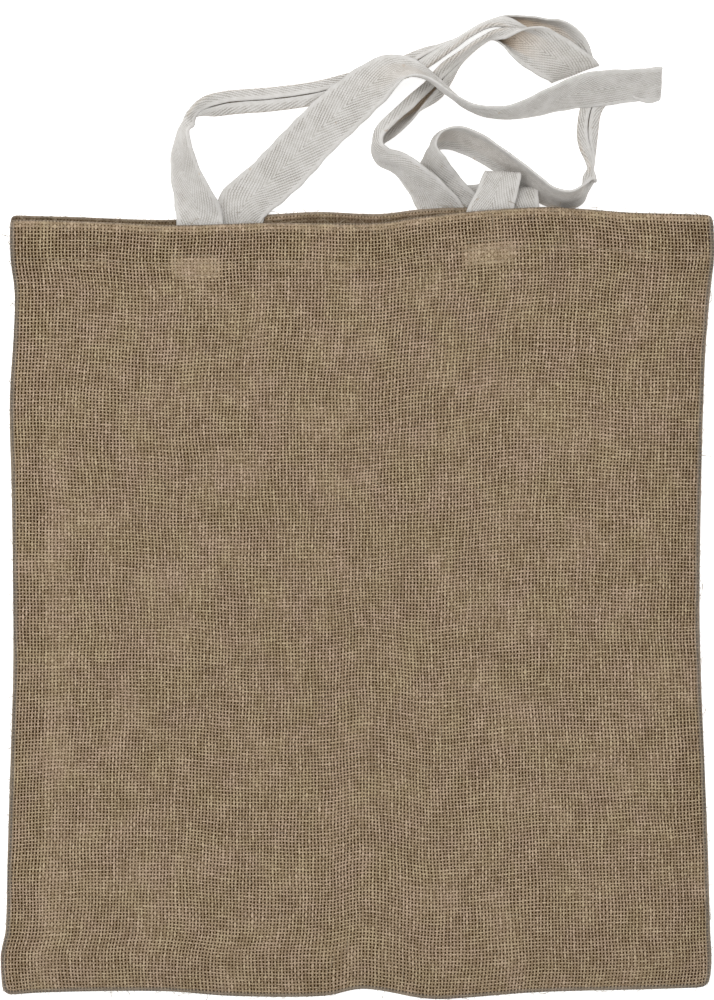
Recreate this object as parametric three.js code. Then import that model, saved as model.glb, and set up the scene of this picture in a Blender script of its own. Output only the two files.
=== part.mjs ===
// A jute tote bag lying on its back, its two tape handles loose above the mouth.
// Millimetres. X runs across the bag, Y from its bottom towards its handles, Z up from the table.
// The origin is on the table, under the middle of the back panel.
import * as THREE from 'three';

// The cloth
const CLOTH = 1.2;            // thickness of one layer of hessian
const HEM_DEPTH = 26;         // turned in at the mouth and stitched down
const GAP = 0.3;              // between two pieces that touch
const BODY_LOFT = 6;          // how far the front panel stands off the back one
const MOUTH_LOFT = 8.6;       // the same at the mouth, over the doubled hems
const SEAM_ROLL = 26;         // the front panel comes down to the seam within this distance

// The handles
const TAPE_WIDTH = 25;
const TAPE_THICKNESS = 1.2;
const FULL_CURL = THREE.MathUtils.degToRad(170);  // how far a quarter of the tape folds over
const CURL_BEND = 3.2;        // length of tape taken up by one lengthwise fold
const TAPE_STEP = 8;          // longest stretch between two sections
const TABLE_CLEARANCE = 0.05;

// Outline of the bag as it lies, a little wider at the bottom corners
const LEFT_EDGE = [
  { y: -212, x: -194.6 }, { y: -191, x: -195.4 }, { y: -177, x: -192.8 }, { y: -135, x: -191.7 },
  { y: -80, x: -190 }, { y: -40, x: -188.8 }, { y: 0, x: -188.7 }, { y: 60, x: -189.5 },
  { y: 110, x: -190.6 }, { y: 150, x: -188.3 }, { y: 170, x: -187.9 }, { y: 190, x: -190 },
  { y: 212, x: -190.4 },
];
const RIGHT_EDGE = [
  { y: -212, x: 189.6 }, { y: -195, x: 191.3 }, { y: -178, x: 190.6 }, { y: -135, x: 189.4 },
  { y: -80, x: 187.2 }, { y: -40, x: 185.6 }, { y: 0, x: 184.8 }, { y: 80, x: 186 },
  { y: 135, x: 187.8 }, { y: 164, x: 190 }, { y: 192, x: 192.6 }, { y: 212, x: 191.9 },
];
const BOTTOM_EDGE = [
  { x: -195, y: -212.8 }, { x: -165, y: -210.8 }, { x: -103, y: -210.2 }, { x: -66, y: -212.8 },
  { x: -17, y: -212.8 }, { x: 1, y: -209.1 }, { x: 12, y: -209.6 }, { x: 35, y: -213.9 },
  { x: 48, y: -214.5 }, { x: 97, y: -210.8 }, { x: 159, y: -209.1 }, { x: 192, y: -208 },
];
const FRONT_MOUTH = [
  { x: -191, y: 211.3 }, { x: -138, y: 208.6 }, { x: -99, y: 207 }, { x: -52, y: 207.8 },
  { x: 7, y: 207.2 }, { x: 27, y: 209.7 }, { x: 55, y: 212.9 }, { x: 98, y: 215.7 },
  { x: 120, y: 214.9 }, { x: 145, y: 213 }, { x: 192, y: 212 },
];
const BACK_MOUTH = [
  { x: -191, y: 212.2 }, { x: -155, y: 211.1 }, { x: -105, y: 209.5 }, { x: -50, y: 212.6 },
  { x: -23, y: 214 }, { x: 8, y: 212.9 }, { x: 34, y: 215.1 }, { x: 56, y: 215.9 },
  { x: 98, y: 215 }, { x: 120, y: 214 }, { x: 145, y: 212.2 }, { x: 192, y: 211.5 },
];
const GRID_X = 190;           // half width and half height of the even grid behind each panel
const GRID_Y = 212;
const BLEND_X = 140;          // the grid's rows and columns slide from one edge to the other
const BLEND_Y = 150;          // within these distances of the middle
const CORNER_CUT = 0.8;       // the four corners are rounded off by this much

// Soft folds pressed into the front panel: from one end to the other, height at each end
const FRONT_FOLDS = [
  { x0: 6, y0: -214, h0: 2.4, x1: 4, y1: -60, h1: 0, half: 9 },
  { x0: 36, y0: -214, h0: -0.9, x1: 34, y1: -120, h1: 0, half: 16 },
  { x0: 22, y0: 212, h0: -1.2, x1: 12, y1: 150, h1: 0, half: 12 },
  { x0: -150, y0: -190, h0: 0.8, x1: -110, y1: -60, h1: 0, half: 22 },
  { x0: 140, y0: 190, h0: 0.7, x1: 120, y1: 60, h1: 0, half: 24 },
];
// The handles' ends are tucked under the back panel's rim here and lift it
const RIM_LIFT = { x: 66, half: 33, ease: 20, height: 6.6, top: 203, foot: 172 };
const FRONT_LIFT = 0.7;        // how much of it the front panel's rim follows

// Sections of each handle, from its left end to its right one.
// x, y, z: middle of the tape. yaw: plan direction of its width. roll: tilt of its width.
// curl: how far both edges fold over the middle, 1 is all the way.
// wide: how long the section is where it lies aslant, along a fold, or is bunched up.
const FRONT_HANDLE = [
  { x: -87, y: 179.5, z: 8, yaw: 0, roll: -180, curl: 0 },
  { x: -87, y: 196, z: 7.8, yaw: 0, roll: -180, curl: 0 },
  { x: -87, y: 209, z: 7.7, yaw: 0, roll: -180, curl: 0 },
  { x: -87.6, y: 213.4, z: 8, yaw: 3, roll: -175, curl: 0 },
  { x: -89.5, y: 221, z: 9.5, yaw: 8, roll: -154, curl: 0 },
  { x: -94.5, y: 236, z: 10.5, yaw: 12, roll: -134, curl: 0.02 },
  { x: -97, y: 249.5, z: 11.5, yaw: 4, roll: -118, curl: 0.1 },
  { x: -96.6, y: 258.5, z: 11.5, yaw: -12, roll: -106, curl: 0.22 },
  { x: -94.5, y: 266, z: 9, yaw: -32, roll: -82, curl: 0.5 },
  { x: -87, y: 271.6, z: 5, yaw: -66, roll: -40, curl: 0.85 },
  { x: -72, y: 275, z: 0.7, yaw: -82, roll: -8, curl: 1 },
  { x: -49, y: 276.5, z: 0.7, yaw: -84, roll: 0, curl: 1 },
  { x: -24.6, y: 279.6, z: 0.7, yaw: -78, roll: 0, curl: 1 },
  { x: -5.5, y: 284.2, z: 0.7, yaw: -73, roll: 0, curl: 1 },
  { x: 14, y: 290, z: 0.7, yaw: -72, roll: 0, curl: 1 },
  { x: 37, y: 297.6, z: 0.7, yaw: -70, roll: 4, curl: 1 },
  { x: 50, y: 302.4, z: 3.5, yaw: -66, roll: 32, curl: 1 },
  { x: 60, y: 308, z: 7, yaw: -56, roll: 74, curl: 0.98 },
  { x: 69, y: 314, z: 7, yaw: -62, roll: 78, curl: 0.95 },
  { x: 78, y: 316.6, z: 5.5, yaw: -82, roll: 56, curl: 0.86 },
  { x: 88, y: 316, z: 3, yaw: -96, roll: 22, curl: 0.72 },
  { x: 99, y: 313.6, z: 1, yaw: -104, roll: 6, curl: 0.52 },
  { x: 107.5, y: 310, z: 0.7, yaw: -122, roll: 0, curl: 0.34 },
  { x: 114, y: 304.4, z: 0.7, yaw: -148, roll: 0, curl: 0.18 },
  { x: 117, y: 297.6, z: 0.7, yaw: -170, roll: 0, curl: 0.04 },
  { x: 117.6, y: 291.8, z: 0.7, yaw: -164, roll: 0, curl: 0, wide: 1.06 },
  { x: 117.6, y: 290, z: 2.2, yaw: -160, roll: 0, curl: 0, wide: 1.1 },
  { x: 116.4, y: 291.2, z: 3.8, yaw: -152, roll: 0, curl: 0, wide: 1.08 },
  { x: 110, y: 295.4, z: 6.8, yaw: -127, roll: 0, curl: -0.02 },
  { x: 99, y: 301.4, z: 9.4, yaw: -120, roll: -4, curl: -0.08 },
  { x: 89, y: 306.2, z: 10.4, yaw: -115, roll: -16, curl: -0.35 },
  { x: 80.5, y: 308.6, z: 9.4, yaw: -104, roll: -46, curl: -0.75 },
  { x: 72.5, y: 308, z: 7.5, yaw: -72, roll: -76, curl: -0.97 },
  { x: 64.5, y: 303, z: 7, yaw: -50, roll: -76, curl: -1 },
  { x: 57, y: 296.6, z: 6, yaw: -46, roll: -54, curl: -1 },
  { x: 49, y: 289, z: 2.4, yaw: -46, roll: -18, curl: -1 },
  { x: 41.5, y: 281.8, z: 0.7, yaw: -46, roll: -10, curl: -0.92 },
  { x: 31, y: 273, z: 2.5, yaw: -48, roll: -30, curl: -0.55 },
  { x: 20, y: 264.6, z: 8, yaw: -50, roll: -54, curl: -0.38 },
  { x: 12.3, y: 257, z: 10, yaw: -34, roll: -76, curl: -0.35 },
  { x: 9.8, y: 248.5, z: 11, yaw: -5, roll: -97, curl: -0.3 },
  { x: 12.5, y: 241.2, z: 11.5, yaw: 34, roll: -114, curl: -0.26 },
  { x: 20, y: 235.2, z: 11.5, yaw: 50, roll: -126, curl: -0.2 },
  { x: 30, y: 228.8, z: 10.6, yaw: 48, roll: -142, curl: -0.1 },
  { x: 38, y: 222.4, z: 7.2, yaw: 42, roll: -163, curl: -0.02 },
  { x: 43.6, y: 216.4, z: 5.5, yaw: 34, roll: -175, curl: 0, wide: 1.04 },
  { x: 48, y: 211.2, z: 5.2, yaw: 20, roll: -180, curl: 0, wide: 1.15 },
  { x: 52, y: 206.4, z: 5, yaw: 4, roll: -180, curl: 0, wide: 1.26 },
  { x: 53.8, y: 204.4, z: 4, yaw: -4, roll: -180, curl: 0, wide: 1.3 },
  { x: 54.2, y: 204, z: 2.8, yaw: -5, roll: -180, curl: 0, wide: 1.3 },
  { x: 54.8, y: 204.4, z: 1.5, yaw: -6, roll: -180, curl: 0, wide: 1.3 },
  { x: 56.6, y: 206.4, z: 0.7, yaw: -14, roll: -180, curl: 0, wide: 1.24 },
  { x: 61, y: 211.4, z: 0.7, yaw: -30, roll: -180, curl: 0, wide: 1.1 },
  { x: 65.6, y: 217.4, z: 0.7, yaw: -40, roll: -180, curl: 0 },
  { x: 70, y: 223, z: 0.7, yaw: -34, roll: -180, curl: 0, wide: 0.85 },
  { x: 73.4, y: 227, z: 0.7, yaw: -20, roll: -180, curl: 0, wide: 0.7 },
  { x: 75.4, y: 229.6, z: 1.3, yaw: -8, roll: -180, curl: 0, wide: 0.62 },
  { x: 76, y: 230.5, z: 3, yaw: -4, roll: -180, curl: 0, wide: 0.62 },
  { x: 76.2, y: 231.2, z: 5.6, yaw: -3, roll: -176, curl: 0, wide: 0.66 },
  { x: 76.2, y: 233, z: 9, yaw: -4, roll: -168, curl: 0, wide: 0.8 },
  { x: 75.9, y: 235.5, z: 11.6, yaw: -6, roll: -161, curl: 0 },
  { x: 75.6, y: 236.5, z: 13, yaw: -5, roll: -160, curl: 0 },
  { x: 75.4, y: 235.5, z: 14.4, yaw: -3, roll: -161, curl: 0 },
  { x: 74.8, y: 230, z: 14.6, yaw: 8, roll: -167, curl: 0 },
  { x: 72.6, y: 220, z: 12.9, yaw: 13, roll: -177, curl: 0 },
  { x: 70.8, y: 210, z: 12.1, yaw: 8, roll: -180, curl: 0 },
  { x: 70, y: 201, z: 12, yaw: 2, roll: -180, curl: 0 },
  { x: 70, y: 192, z: 11.2, yaw: 0, roll: -180, curl: 0 },
  { x: 70, y: 185, z: 10, yaw: 0, roll: -180, curl: 0 },
];
const BACK_HANDLE = [
  { x: -67, y: 181, z: 3.4, yaw: 0, roll: 0, curl: 0 },
  { x: -67, y: 196, z: 3.4, yaw: 0, roll: 0, curl: 0 },
  { x: -67, y: 210, z: 3.5, yaw: -8, roll: 0, curl: 0 },
  { x: -62.5, y: 220, z: 3.4, yaw: -30, roll: 0, curl: 0 },
  { x: -53.5, y: 229.5, z: 2.2, yaw: -45, roll: 0, curl: 0 },
  { x: -38, y: 244.7, z: 3, yaw: -44, roll: 0, curl: 0 },
  { x: -23, y: 260.4, z: 6.2, yaw: -43, roll: 2, curl: 0 },
  { x: -8, y: 275.4, z: 8.4, yaw: -44, roll: 5, curl: 0 },
  { x: 5.5, y: 286.2, z: 10.5, yaw: -56, roll: 16, curl: 0.04 },
  { x: 17.5, y: 291.8, z: 13, yaw: -82, roll: 42, curl: 0.1 },
  { x: 27, y: 291.2, z: 15, yaw: -104, roll: 62, curl: 0.14 },
  { x: 36.4, y: 287, z: 17.6, yaw: -121, roll: 76, curl: 0.14 },
  { x: 46, y: 279.6, z: 17.8, yaw: -126, roll: 82, curl: 0.14 },
  { x: 58.3, y: 271.6, z: 13.2, yaw: -115, roll: 88, curl: 0.16 },
  { x: 72.8, y: 268.4, z: 12, yaw: -96, roll: 96, curl: 0.14 },
  { x: 84.5, y: 269.2, z: 12, yaw: -78, roll: 103, curl: 0.1 },
  { x: 96, y: 272.2, z: 11.4, yaw: -68, roll: 111, curl: 0.06 },
  { x: 108, y: 276.6, z: 11.4, yaw: -67, roll: 121, curl: 0.04 },
  { x: 121, y: 281, z: 12.8, yaw: -77, roll: 131, curl: 0.02 },
  { x: 137, y: 283, z: 13, yaw: -88, roll: 134, curl: 0 },
  { x: 150, y: 283.8, z: 13, yaw: -88, roll: 134, curl: 0 },
  { x: 160.5, y: 284.2, z: 13, yaw: -89, roll: 134, curl: 0 },
  { x: 163.2, y: 284.2, z: 12.3, yaw: -89, roll: 134, curl: 0 },
  { x: 163.2, y: 284.4, z: 11, yaw: -89, roll: 135, curl: 0 },
  { x: 159.5, y: 285, z: 9.6, yaw: -90, roll: 140, curl: 0.04 },
  { x: 153, y: 286, z: 5.5, yaw: -91, roll: 154, curl: 0.3 },
  { x: 147.5, y: 286, z: 2, yaw: -88, roll: 172, curl: 0.75 },
  { x: 142, y: 284.8, z: 0.7, yaw: -78, roll: 180, curl: 1 },
  { x: 136.6, y: 281.4, z: 0.7, yaw: -60, roll: 180, curl: 1 },
  { x: 131.8, y: 276.2, z: 0.7, yaw: -40, roll: 180, curl: 1 },
  { x: 128.2, y: 269.4, z: 0.7, yaw: -23, roll: 180, curl: 1 },
  { x: 125, y: 260, z: 0.7, yaw: -12, roll: 180, curl: 1 },
  { x: 123.4, y: 252, z: 1.4, yaw: -4, roll: 172, curl: 1 },
  { x: 123, y: 247, z: 5, yaw: 0, roll: 145, curl: 1 },
  { x: 122.4, y: 243, z: 8.6, yaw: 3, roll: 112, curl: 0.96 },
  { x: 122, y: 239, z: 11, yaw: 0, roll: 94, curl: 0.5 },
  { x: 123.8, y: 234.4, z: 12, yaw: -8, roll: 93, curl: 0.14 },
  { x: 123.8, y: 228.6, z: 11.5, yaw: -28, roll: 98, curl: 0.12 },
  { x: 119.6, y: 223.6, z: 11.5, yaw: -56, roll: 107, curl: 0.08 },
  { x: 112.6, y: 221.2, z: 11.3, yaw: -84, roll: 110, curl: 0.06 },
  { x: 104.4, y: 222.6, z: 11, yaw: -108, roll: 111, curl: 0.06 },
  { x: 96.6, y: 227.6, z: 10.8, yaw: -125, roll: 112, curl: 0.06 },
  { x: 88, y: 234.8, z: 10.6, yaw: -130, roll: 113, curl: 0.08 },
  { x: 77.4, y: 242.6, z: 10.4, yaw: -127, roll: 115, curl: 0.1 },
  { x: 66, y: 249.8, z: 10, yaw: -119, roll: 118, curl: 0.1 },
  { x: 55, y: 254.6, z: 10, yaw: -98, roll: 118, curl: 0.1 },
  { x: 46, y: 254.6, z: 11, yaw: -62, roll: 108, curl: 0.16 },
  { x: 40.6, y: 249.4, z: 11, yaw: -20, roll: 88, curl: 0.2 },
  { x: 39.6, y: 242, z: 9, yaw: 8, roll: 62, curl: 0.12 },
  { x: 41, y: 234.6, z: 6.8, yaw: 24, roll: 38, curl: 0.05 },
  { x: 45, y: 227, z: 4.8, yaw: 28, roll: 18, curl: 0 },
  { x: 50.4, y: 221, z: 3.8, yaw: 14, roll: 6, curl: 0, wide: 1.08 },
  { x: 55, y: 217.4, z: 3.7, yaw: -8, roll: 0, curl: 0, wide: 1.22 },
  { x: 56.8, y: 216.4, z: 2.95, yaw: -19, roll: 0, curl: 0, wide: 1.26 },
  { x: 58.8, y: 217, z: 2.2, yaw: -32, roll: 0, curl: 0, wide: 1.14 },
  { x: 64, y: 218.8, z: 2.2, yaw: -56, roll: 0, curl: 0, wide: 0.96 },
  { x: 70, y: 219.8, z: 2.2, yaw: -72, roll: 0, curl: 0, wide: 0.8 },
  { x: 76, y: 220.6, z: 2.2, yaw: -60, roll: 0, curl: 0, wide: 0.7 },
  { x: 81.4, y: 222, z: 2.2, yaw: -34, roll: 0, curl: 0, wide: 0.74 },
  { x: 84.2, y: 224.6, z: 2.5, yaw: -14, roll: 0, curl: 0, wide: 0.88 },
  { x: 84.8, y: 226.6, z: 3.8, yaw: -5, roll: 0, curl: 0, wide: 0.96 },
  { x: 84.8, y: 227.3, z: 6, yaw: -2, roll: 0, curl: 0 },
  { x: 84.7, y: 226.2, z: 8.8, yaw: 0, roll: 0, curl: 0 },
  { x: 84.6, y: 220.4, z: 10.2, yaw: 0, roll: 0, curl: 0 },
  { x: 84.6, y: 211, z: 10.2, yaw: 0, roll: 0, curl: 0 },
  { x: 84.6, y: 202, z: 10.1, yaw: 0, roll: 0, curl: 0 },
  { x: 84.6, y: 194, z: 9.3, yaw: 0, roll: 0, curl: 0 },
  { x: 84.6, y: 184, z: 6.6, yaw: 0, roll: 0, curl: 0 },
];

const smooth = THREE.MathUtils.smoothstep;

// A smooth value read off a table at a place along its key column
function along(rows, key, column, at) {
  const last = rows.length - 1;
  if (at <= rows[0][key]) return rows[0][column];
  if (at >= rows[last][key]) return rows[last][column];
  let i = 0;
  while (rows[i + 1][key] < at) i += 1;
  const slope = (j) => {
    const before = rows[Math.max(j - 1, 0)];
    const after = rows[Math.min(j + 1, last)];
    return (after[column] - before[column]) / (after[key] - before[key]);
  };
  const width = rows[i + 1][key] - rows[i][key];
  const t = (at - rows[i][key]) / width;
  const rise = rows[i + 1][column] - rows[i][column];
  const ease = t * t * (3 - 2 * t);
  const enter = t * (1 - t) * (1 - t) * width * slope(i);
  const leave = t * t * (t - 1) * width * slope(i + 1);
  return rows[i][column] + rise * ease + enter + leave;
}

// How much of a soft fold is felt at a point, from its middle line outwards
function foldAt(fold, x, y) {
  const dx = fold.x1 - fold.x0;
  const dy = fold.y1 - fold.y0;
  const t = ((x - fold.x0) * dx + (y - fold.y0) * dy) / (dx * dx + dy * dy);
  const held = THREE.MathUtils.clamp(t, 0, 1);
  const away = Math.hypot(x - fold.x0 - held * dx, y - fold.y0 - held * dy) / fold.half;
  const height = THREE.MathUtils.lerp(fold.h0, fold.h1, held);
  return height * Math.exp(-away * away);
}

// The rim of the back panel rides over the tape tucked under it
function rimLift(x, y) {
  const { half, ease, height, top, foot } = RIM_LIFT;
  const sideways = 1 - smooth(Math.abs(x - RIM_LIFT.x), half, half + ease);
  return height * sideways * smooth(y, foot, top);
}

// Height of the front panel's inner side over the table
function frontInner(x, y, fromEdge, fromMouth) {
  const swell = Math.sin(Math.min(fromEdge / SEAM_ROLL, 1) * Math.PI / 2);
  const hems = 2 * CLOTH * (1 - smooth(fromMouth, HEM_DEPTH + 1, HEM_DEPTH + 7));
  const seam = CLOTH + GAP + hems * (1 - swell);
  const loft = THREE.MathUtils.lerp(MOUTH_LOFT, BODY_LOFT, smooth(fromMouth, HEM_DEPTH + 4, HEM_DEPTH + 70));
  const folds = FRONT_FOLDS.reduce((sum, fold) => sum + foldAt(fold, x, y), 0);
  return seam + (loft + folds) * swell + rimLift(x, y) * FRONT_LIFT;
}

// Distances from the seams or the mouth at which the sheet has a row or a column
const EDGE_STEPS = [0, 1.2, 5, 11, 19, 28, 44];
const HEM_STEPS = [0, 2, 9, 17, HEM_DEPTH - 1, HEM_DEPTH + 1, HEM_DEPTH + 7, 54];
const INNER_COLUMNS = 15;
const INNER_ROWS = 9;

function spread(low, high, lowSteps, highSteps, inner) {
  const places = lowSteps.map((step) => low + step);
  const start = low + lowSteps.at(-1);
  const end = high - highSteps.at(-1);
  for (let i = 1; i < inner; i += 1) places.push(THREE.MathUtils.lerp(start, end, i / inner));
  return places.concat([...highSteps].reverse().map((step) => high - step));
}

// A closed sheet over a grid of columns and rows, with its own underside and top side
function sheet(mouth, underside, topside) {
  const rowPlaces = spread(-GRID_Y, GRID_Y, EDGE_STEPS, HEM_STEPS, INNER_ROWS);
  const columnPlaces = spread(-GRID_X, GRID_X, EDGE_STEPS, EDGE_STEPS, INNER_COLUMNS);
  const columns = columnPlaces.length;
  const rows = rowPlaces.length;
  const under = [];
  const over = [];
  for (let r = 0; r < rows; r += 1) {
    for (let c = 0; c < columns; c += 1) {
      const nominal = columnPlaces[c];
      const bottom = along(BOTTOM_EDGE, 'x', 'y', nominal);
      const top = along(mouth, 'x', 'y', nominal);
      const fromMouth = GRID_Y - rowPlaces[r];
      const upperHalf = top - fromMouth;
      const lowerHalf = bottom + (rowPlaces[r] + GRID_Y);
      let y = THREE.MathUtils.lerp(lowerHalf, upperHalf, smooth(rowPlaces[r], -BLEND_Y, BLEND_Y));
      const left = along(LEFT_EDGE, 'y', 'x', y);
      const right = along(RIGHT_EDGE, 'y', 'x', y);
      const fromLeft = nominal + GRID_X;
      const fromRight = GRID_X - nominal;
      let x = THREE.MathUtils.lerp(left + fromLeft, right - fromRight, smooth(nominal, -BLEND_X, BLEND_X));
      const fromBottom = rowPlaces[r] + GRID_Y;
      const fromSide = Math.min(fromLeft, fromRight);
      if (fromSide === 0 && (r === 0 || r === rows - 1)) {
        x += c === 0 ? CORNER_CUT : -CORNER_CUT;
        y += r === 0 ? CORNER_CUT : -CORNER_CUT;
      }
      const fromEdge = Math.min(fromSide, fromBottom);
      under.push(new THREE.Vector3(x, y, underside(x, y, fromEdge, fromMouth)));
      over.push(new THREE.Vector3(x, y, topside(x, y, fromEdge, fromMouth)));
    }
  }
  const index = [];
  const flip = columns * rows;
  for (let r = 0; r + 1 < rows; r += 1) {
    for (let c = 0; c + 1 < columns; c += 1) {
      const a = r * columns + c;
      const b = a + 1;
      const d = a + columns;
      const e = d + 1;
      index.push(a, e, b, a, d, e);
      index.push(flip + a, flip + b, flip + e, flip + a, flip + e, flip + d);
    }
  }
  const rim = [];
  for (let c = 0; c < columns; c += 1) rim.push(c);
  for (let r = 1; r < rows; r += 1) rim.push(r * columns + columns - 1);
  for (let c = columns - 2; c >= 0; c -= 1) rim.push((rows - 1) * columns + c);
  for (let r = rows - 2; r > 0; r -= 1) rim.push(r * columns);
  rim.forEach((a, i) => {
    const b = rim[(i + 1) % rim.length];
    index.push(a, b, flip + b, a, flip + b, flip + a);
  });
  return closedGeometry([...under, ...over], index);
}

function closedGeometry(points, index) {
  const geometry = new THREE.BufferGeometry().setFromPoints(points);
  geometry.setIndex(index);
  geometry.computeVertexNormals();
  return geometry;
}

// The tape's own section: flat, or with a quarter folded over from each edge
const ACROSS = [-0.5, -0.38, -0.3, -0.22, -0.1, 0.1, 0.22, 0.3, 0.38, 0.5];

function tapeSection(curl) {
  const fold = TAPE_WIDTH * 0.27;
  const steps = 60;
  const half = [{ s: 0, x: 0, z: 0, turn: 0 }];
  for (let i = 1; i <= steps; i += 1) {
    const s = (i / steps) * TAPE_WIDTH / 2;
    const turn = curl * FULL_CURL * smooth(s, fold - CURL_BEND / 2, fold + CURL_BEND / 2);
    const last = half[i - 1];
    const ds = s - last.s;
    half.push({ s, x: last.x + Math.cos(turn) * ds, z: last.z + Math.sin(turn) * ds, turn });
  }
  return ACROSS.map((fraction) => {
    const at = half[Math.round(Math.abs(fraction) * 2 * steps)];
    const side = Math.sign(fraction);
    const normal = { x: -Math.sin(at.turn) * side, z: Math.cos(at.turn) };
    return { x: at.x * side, z: at.z, normal };
  });
}

// A tape swept through its table of sections, kept on or above the table top
function tape(rows) {
  const path = new THREE.CatmullRomCurve3(rows.map((row) => new THREE.Vector3(row.x, row.y, row.z)));
  const angles = rows.map((row) => new THREE.Vector3(row.yaw, row.roll, row.curl));
  const pose = new THREE.CatmullRomCurve3(angles, false, 'catmullrom', 0.5);
  const wide = rows.map((row) => row.wide ?? 1);
  const last = rows.length - 1;
  const stops = [];
  for (let i = 0; i < last; i += 1) {
    const length = Math.hypot(rows[i + 1].x - rows[i].x, rows[i + 1].y - rows[i].y);
    const parts = Math.max(1, Math.ceil(length / TAPE_STEP));
    for (let k = 0; k < parts; k += 1) stops.push((i + k / parts) / last);
  }
  stops.push(1);
  const points = [];
  for (const stop of stops) {
    const at = Math.min(Math.floor(stop * last + 1e-6), last);
    const centre = path.getPoint(stop);
    const ahead = path.getPoint(Math.min(stop + 1e-4, 1));
    const travel = ahead.sub(path.getPoint(Math.max(stop - 1e-4, 0))).normalize();
    const { x: yaw, y: roll, z: curl } = pose.getPoint(stop);
    const plan = THREE.MathUtils.degToRad(yaw);
    const tilt = THREE.MathUtils.degToRad(roll);
    const level = Math.cos(tilt);
    const width = new THREE.Vector3(level * Math.cos(plan), level * Math.sin(plan), Math.sin(tilt));
    const face = new THREE.Vector3().crossVectors(width, travel);
    face.normalize();
    const broad = THREE.MathUtils.lerp(wide[at], wide[Math.min(at + 1, last)], stop * last - at);
    const ring = [];
    for (const side of [1, -1]) {
      const section = tapeSection(curl);
      if (side < 0) section.reverse();
      for (const p of section) {
        const off = side * TAPE_THICKNESS / 2;
        const point = centre.clone();
        point.addScaledVector(width, (p.x + p.normal.x * off) * broad);
        point.addScaledVector(face, p.z + p.normal.z * off);
        ring.push(point);
      }
    }
    const lowest = Math.min(...ring.map((point) => point.z));
    const lift = Math.max(0, TABLE_CLEARANCE - lowest);
    ring.forEach((point) => { point.z += lift; });
    points.push(...ring);
  }
  const around = ACROSS.length * 2;
  const index = [];
  for (let s = 0; s + 1 < stops.length; s += 1) {
    for (let k = 0; k < around; k += 1) {
      const a = s * around + k;
      const b = s * around + (k + 1) % around;
      index.push(a, b, b + around, a, b + around, a + around);
    }
  }
  const end = (stops.length - 1) * around;
  for (let k = 0; k + 1 < ACROSS.length; k += 1) {
    const across = around - 1 - k;
    index.push(k, across, k + 1, k + 1, across, across - 1);
    index.push(end + k, end + k + 1, end + across, end + k + 1, end + across - 1, end + across);
  }
  return closedGeometry(points, index);
}

function frontPanel() {
  const hem = (fromMouth) => CLOTH * (1 - smooth(fromMouth, HEM_DEPTH - 1, HEM_DEPTH + 1));
  return sheet(
    FRONT_MOUTH,
    (x, y, fromEdge, fromMouth) => frontInner(x, y, fromEdge, fromMouth) - hem(fromMouth),
    (x, y, fromEdge, fromMouth) => frontInner(x, y, fromEdge, fromMouth) + CLOTH,
  );
}

function backPanel() {
  const hem = (fromMouth) => CLOTH * (1 - smooth(fromMouth, HEM_DEPTH - 1, HEM_DEPTH + 1));
  return sheet(
    BACK_MOUTH,
    (x, y) => rimLift(x, y),
    (x, y, fromEdge, fromMouth) => rimLift(x, y) + CLOTH + hem(fromMouth),
  );
}

const jute = new THREE.MeshStandardMaterial({ color: 0x917f69, roughness: 0.95, metalness: 0 });
const cotton = new THREE.MeshStandardMaterial({ color: 0xcdc6bd, roughness: 0.9, metalness: 0 });

function piece(name, geometry, material) {
  const mesh = new THREE.Mesh(geometry, material);
  mesh.name = name;
  return mesh;
}

const bag = new THREE.Group();
bag.add(piece('back_panel', backPanel(), jute));
bag.add(piece('front_panel', frontPanel(), jute));
bag.add(piece('back_handle', tape(BACK_HANDLE), cotton));
bag.add(piece('front_handle', tape(FRONT_HANDLE), cotton));

export default bag;
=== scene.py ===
# %% [markdown]
# # A jute tote bag, lying on a table
#
# The bag is two panels of coarse, open jute cloth, sewn together at three sides, with a
# turned hem at the mouth. Two handles of white cotton tape are sewn inside the hem and lie
# tangled above it. This lesson builds the four cut pieces as real sheets of cloth, gives
# each one its weave, and adds the stitches and stray fibres.
#
# We start by loading the frame, which is the plain solid model of the same bag.

# %% Load the frame
import math

import bpy
import numpy as np
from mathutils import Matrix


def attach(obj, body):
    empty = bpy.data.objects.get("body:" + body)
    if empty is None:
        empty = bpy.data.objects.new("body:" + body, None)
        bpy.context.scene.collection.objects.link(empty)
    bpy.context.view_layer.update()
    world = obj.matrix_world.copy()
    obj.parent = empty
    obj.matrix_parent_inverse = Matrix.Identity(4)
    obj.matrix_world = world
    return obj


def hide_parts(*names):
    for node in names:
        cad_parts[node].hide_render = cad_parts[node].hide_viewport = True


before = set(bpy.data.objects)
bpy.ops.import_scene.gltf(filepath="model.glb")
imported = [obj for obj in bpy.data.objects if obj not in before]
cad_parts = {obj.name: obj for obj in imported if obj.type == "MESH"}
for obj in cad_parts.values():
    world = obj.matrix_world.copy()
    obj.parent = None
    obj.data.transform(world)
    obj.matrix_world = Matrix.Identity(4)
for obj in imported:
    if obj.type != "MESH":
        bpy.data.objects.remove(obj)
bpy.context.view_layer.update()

# %% [markdown]
# ## Camera, table and light
#
# The bag is seen from straight above. A long lens far away keeps its edges parallel, as in
# a product picture; a short lens nearby would show more of the handles' height than of the
# cloth. The picture's long side shows 546 mm of table, and from that the lens follows: its
# length over the sensor's is the camera's height over the table's length.

# %% Camera
PICTURE_LENGTH = 0.546
CAMERA_HEIGHT = 2.2
camera_data = bpy.data.cameras.new("above")
camera_data.sensor_width = 36
camera_data.lens = camera_data.sensor_width * CAMERA_HEIGHT / PICTURE_LENGTH
camera = bpy.data.objects.new("above", camera_data)
camera.location = (-0.0016, 0.0573, CAMERA_HEIGHT)
bpy.context.scene.collection.objects.link(camera)
bpy.context.scene.camera = camera
print("lens:", round(camera_data.lens), "mm")

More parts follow.
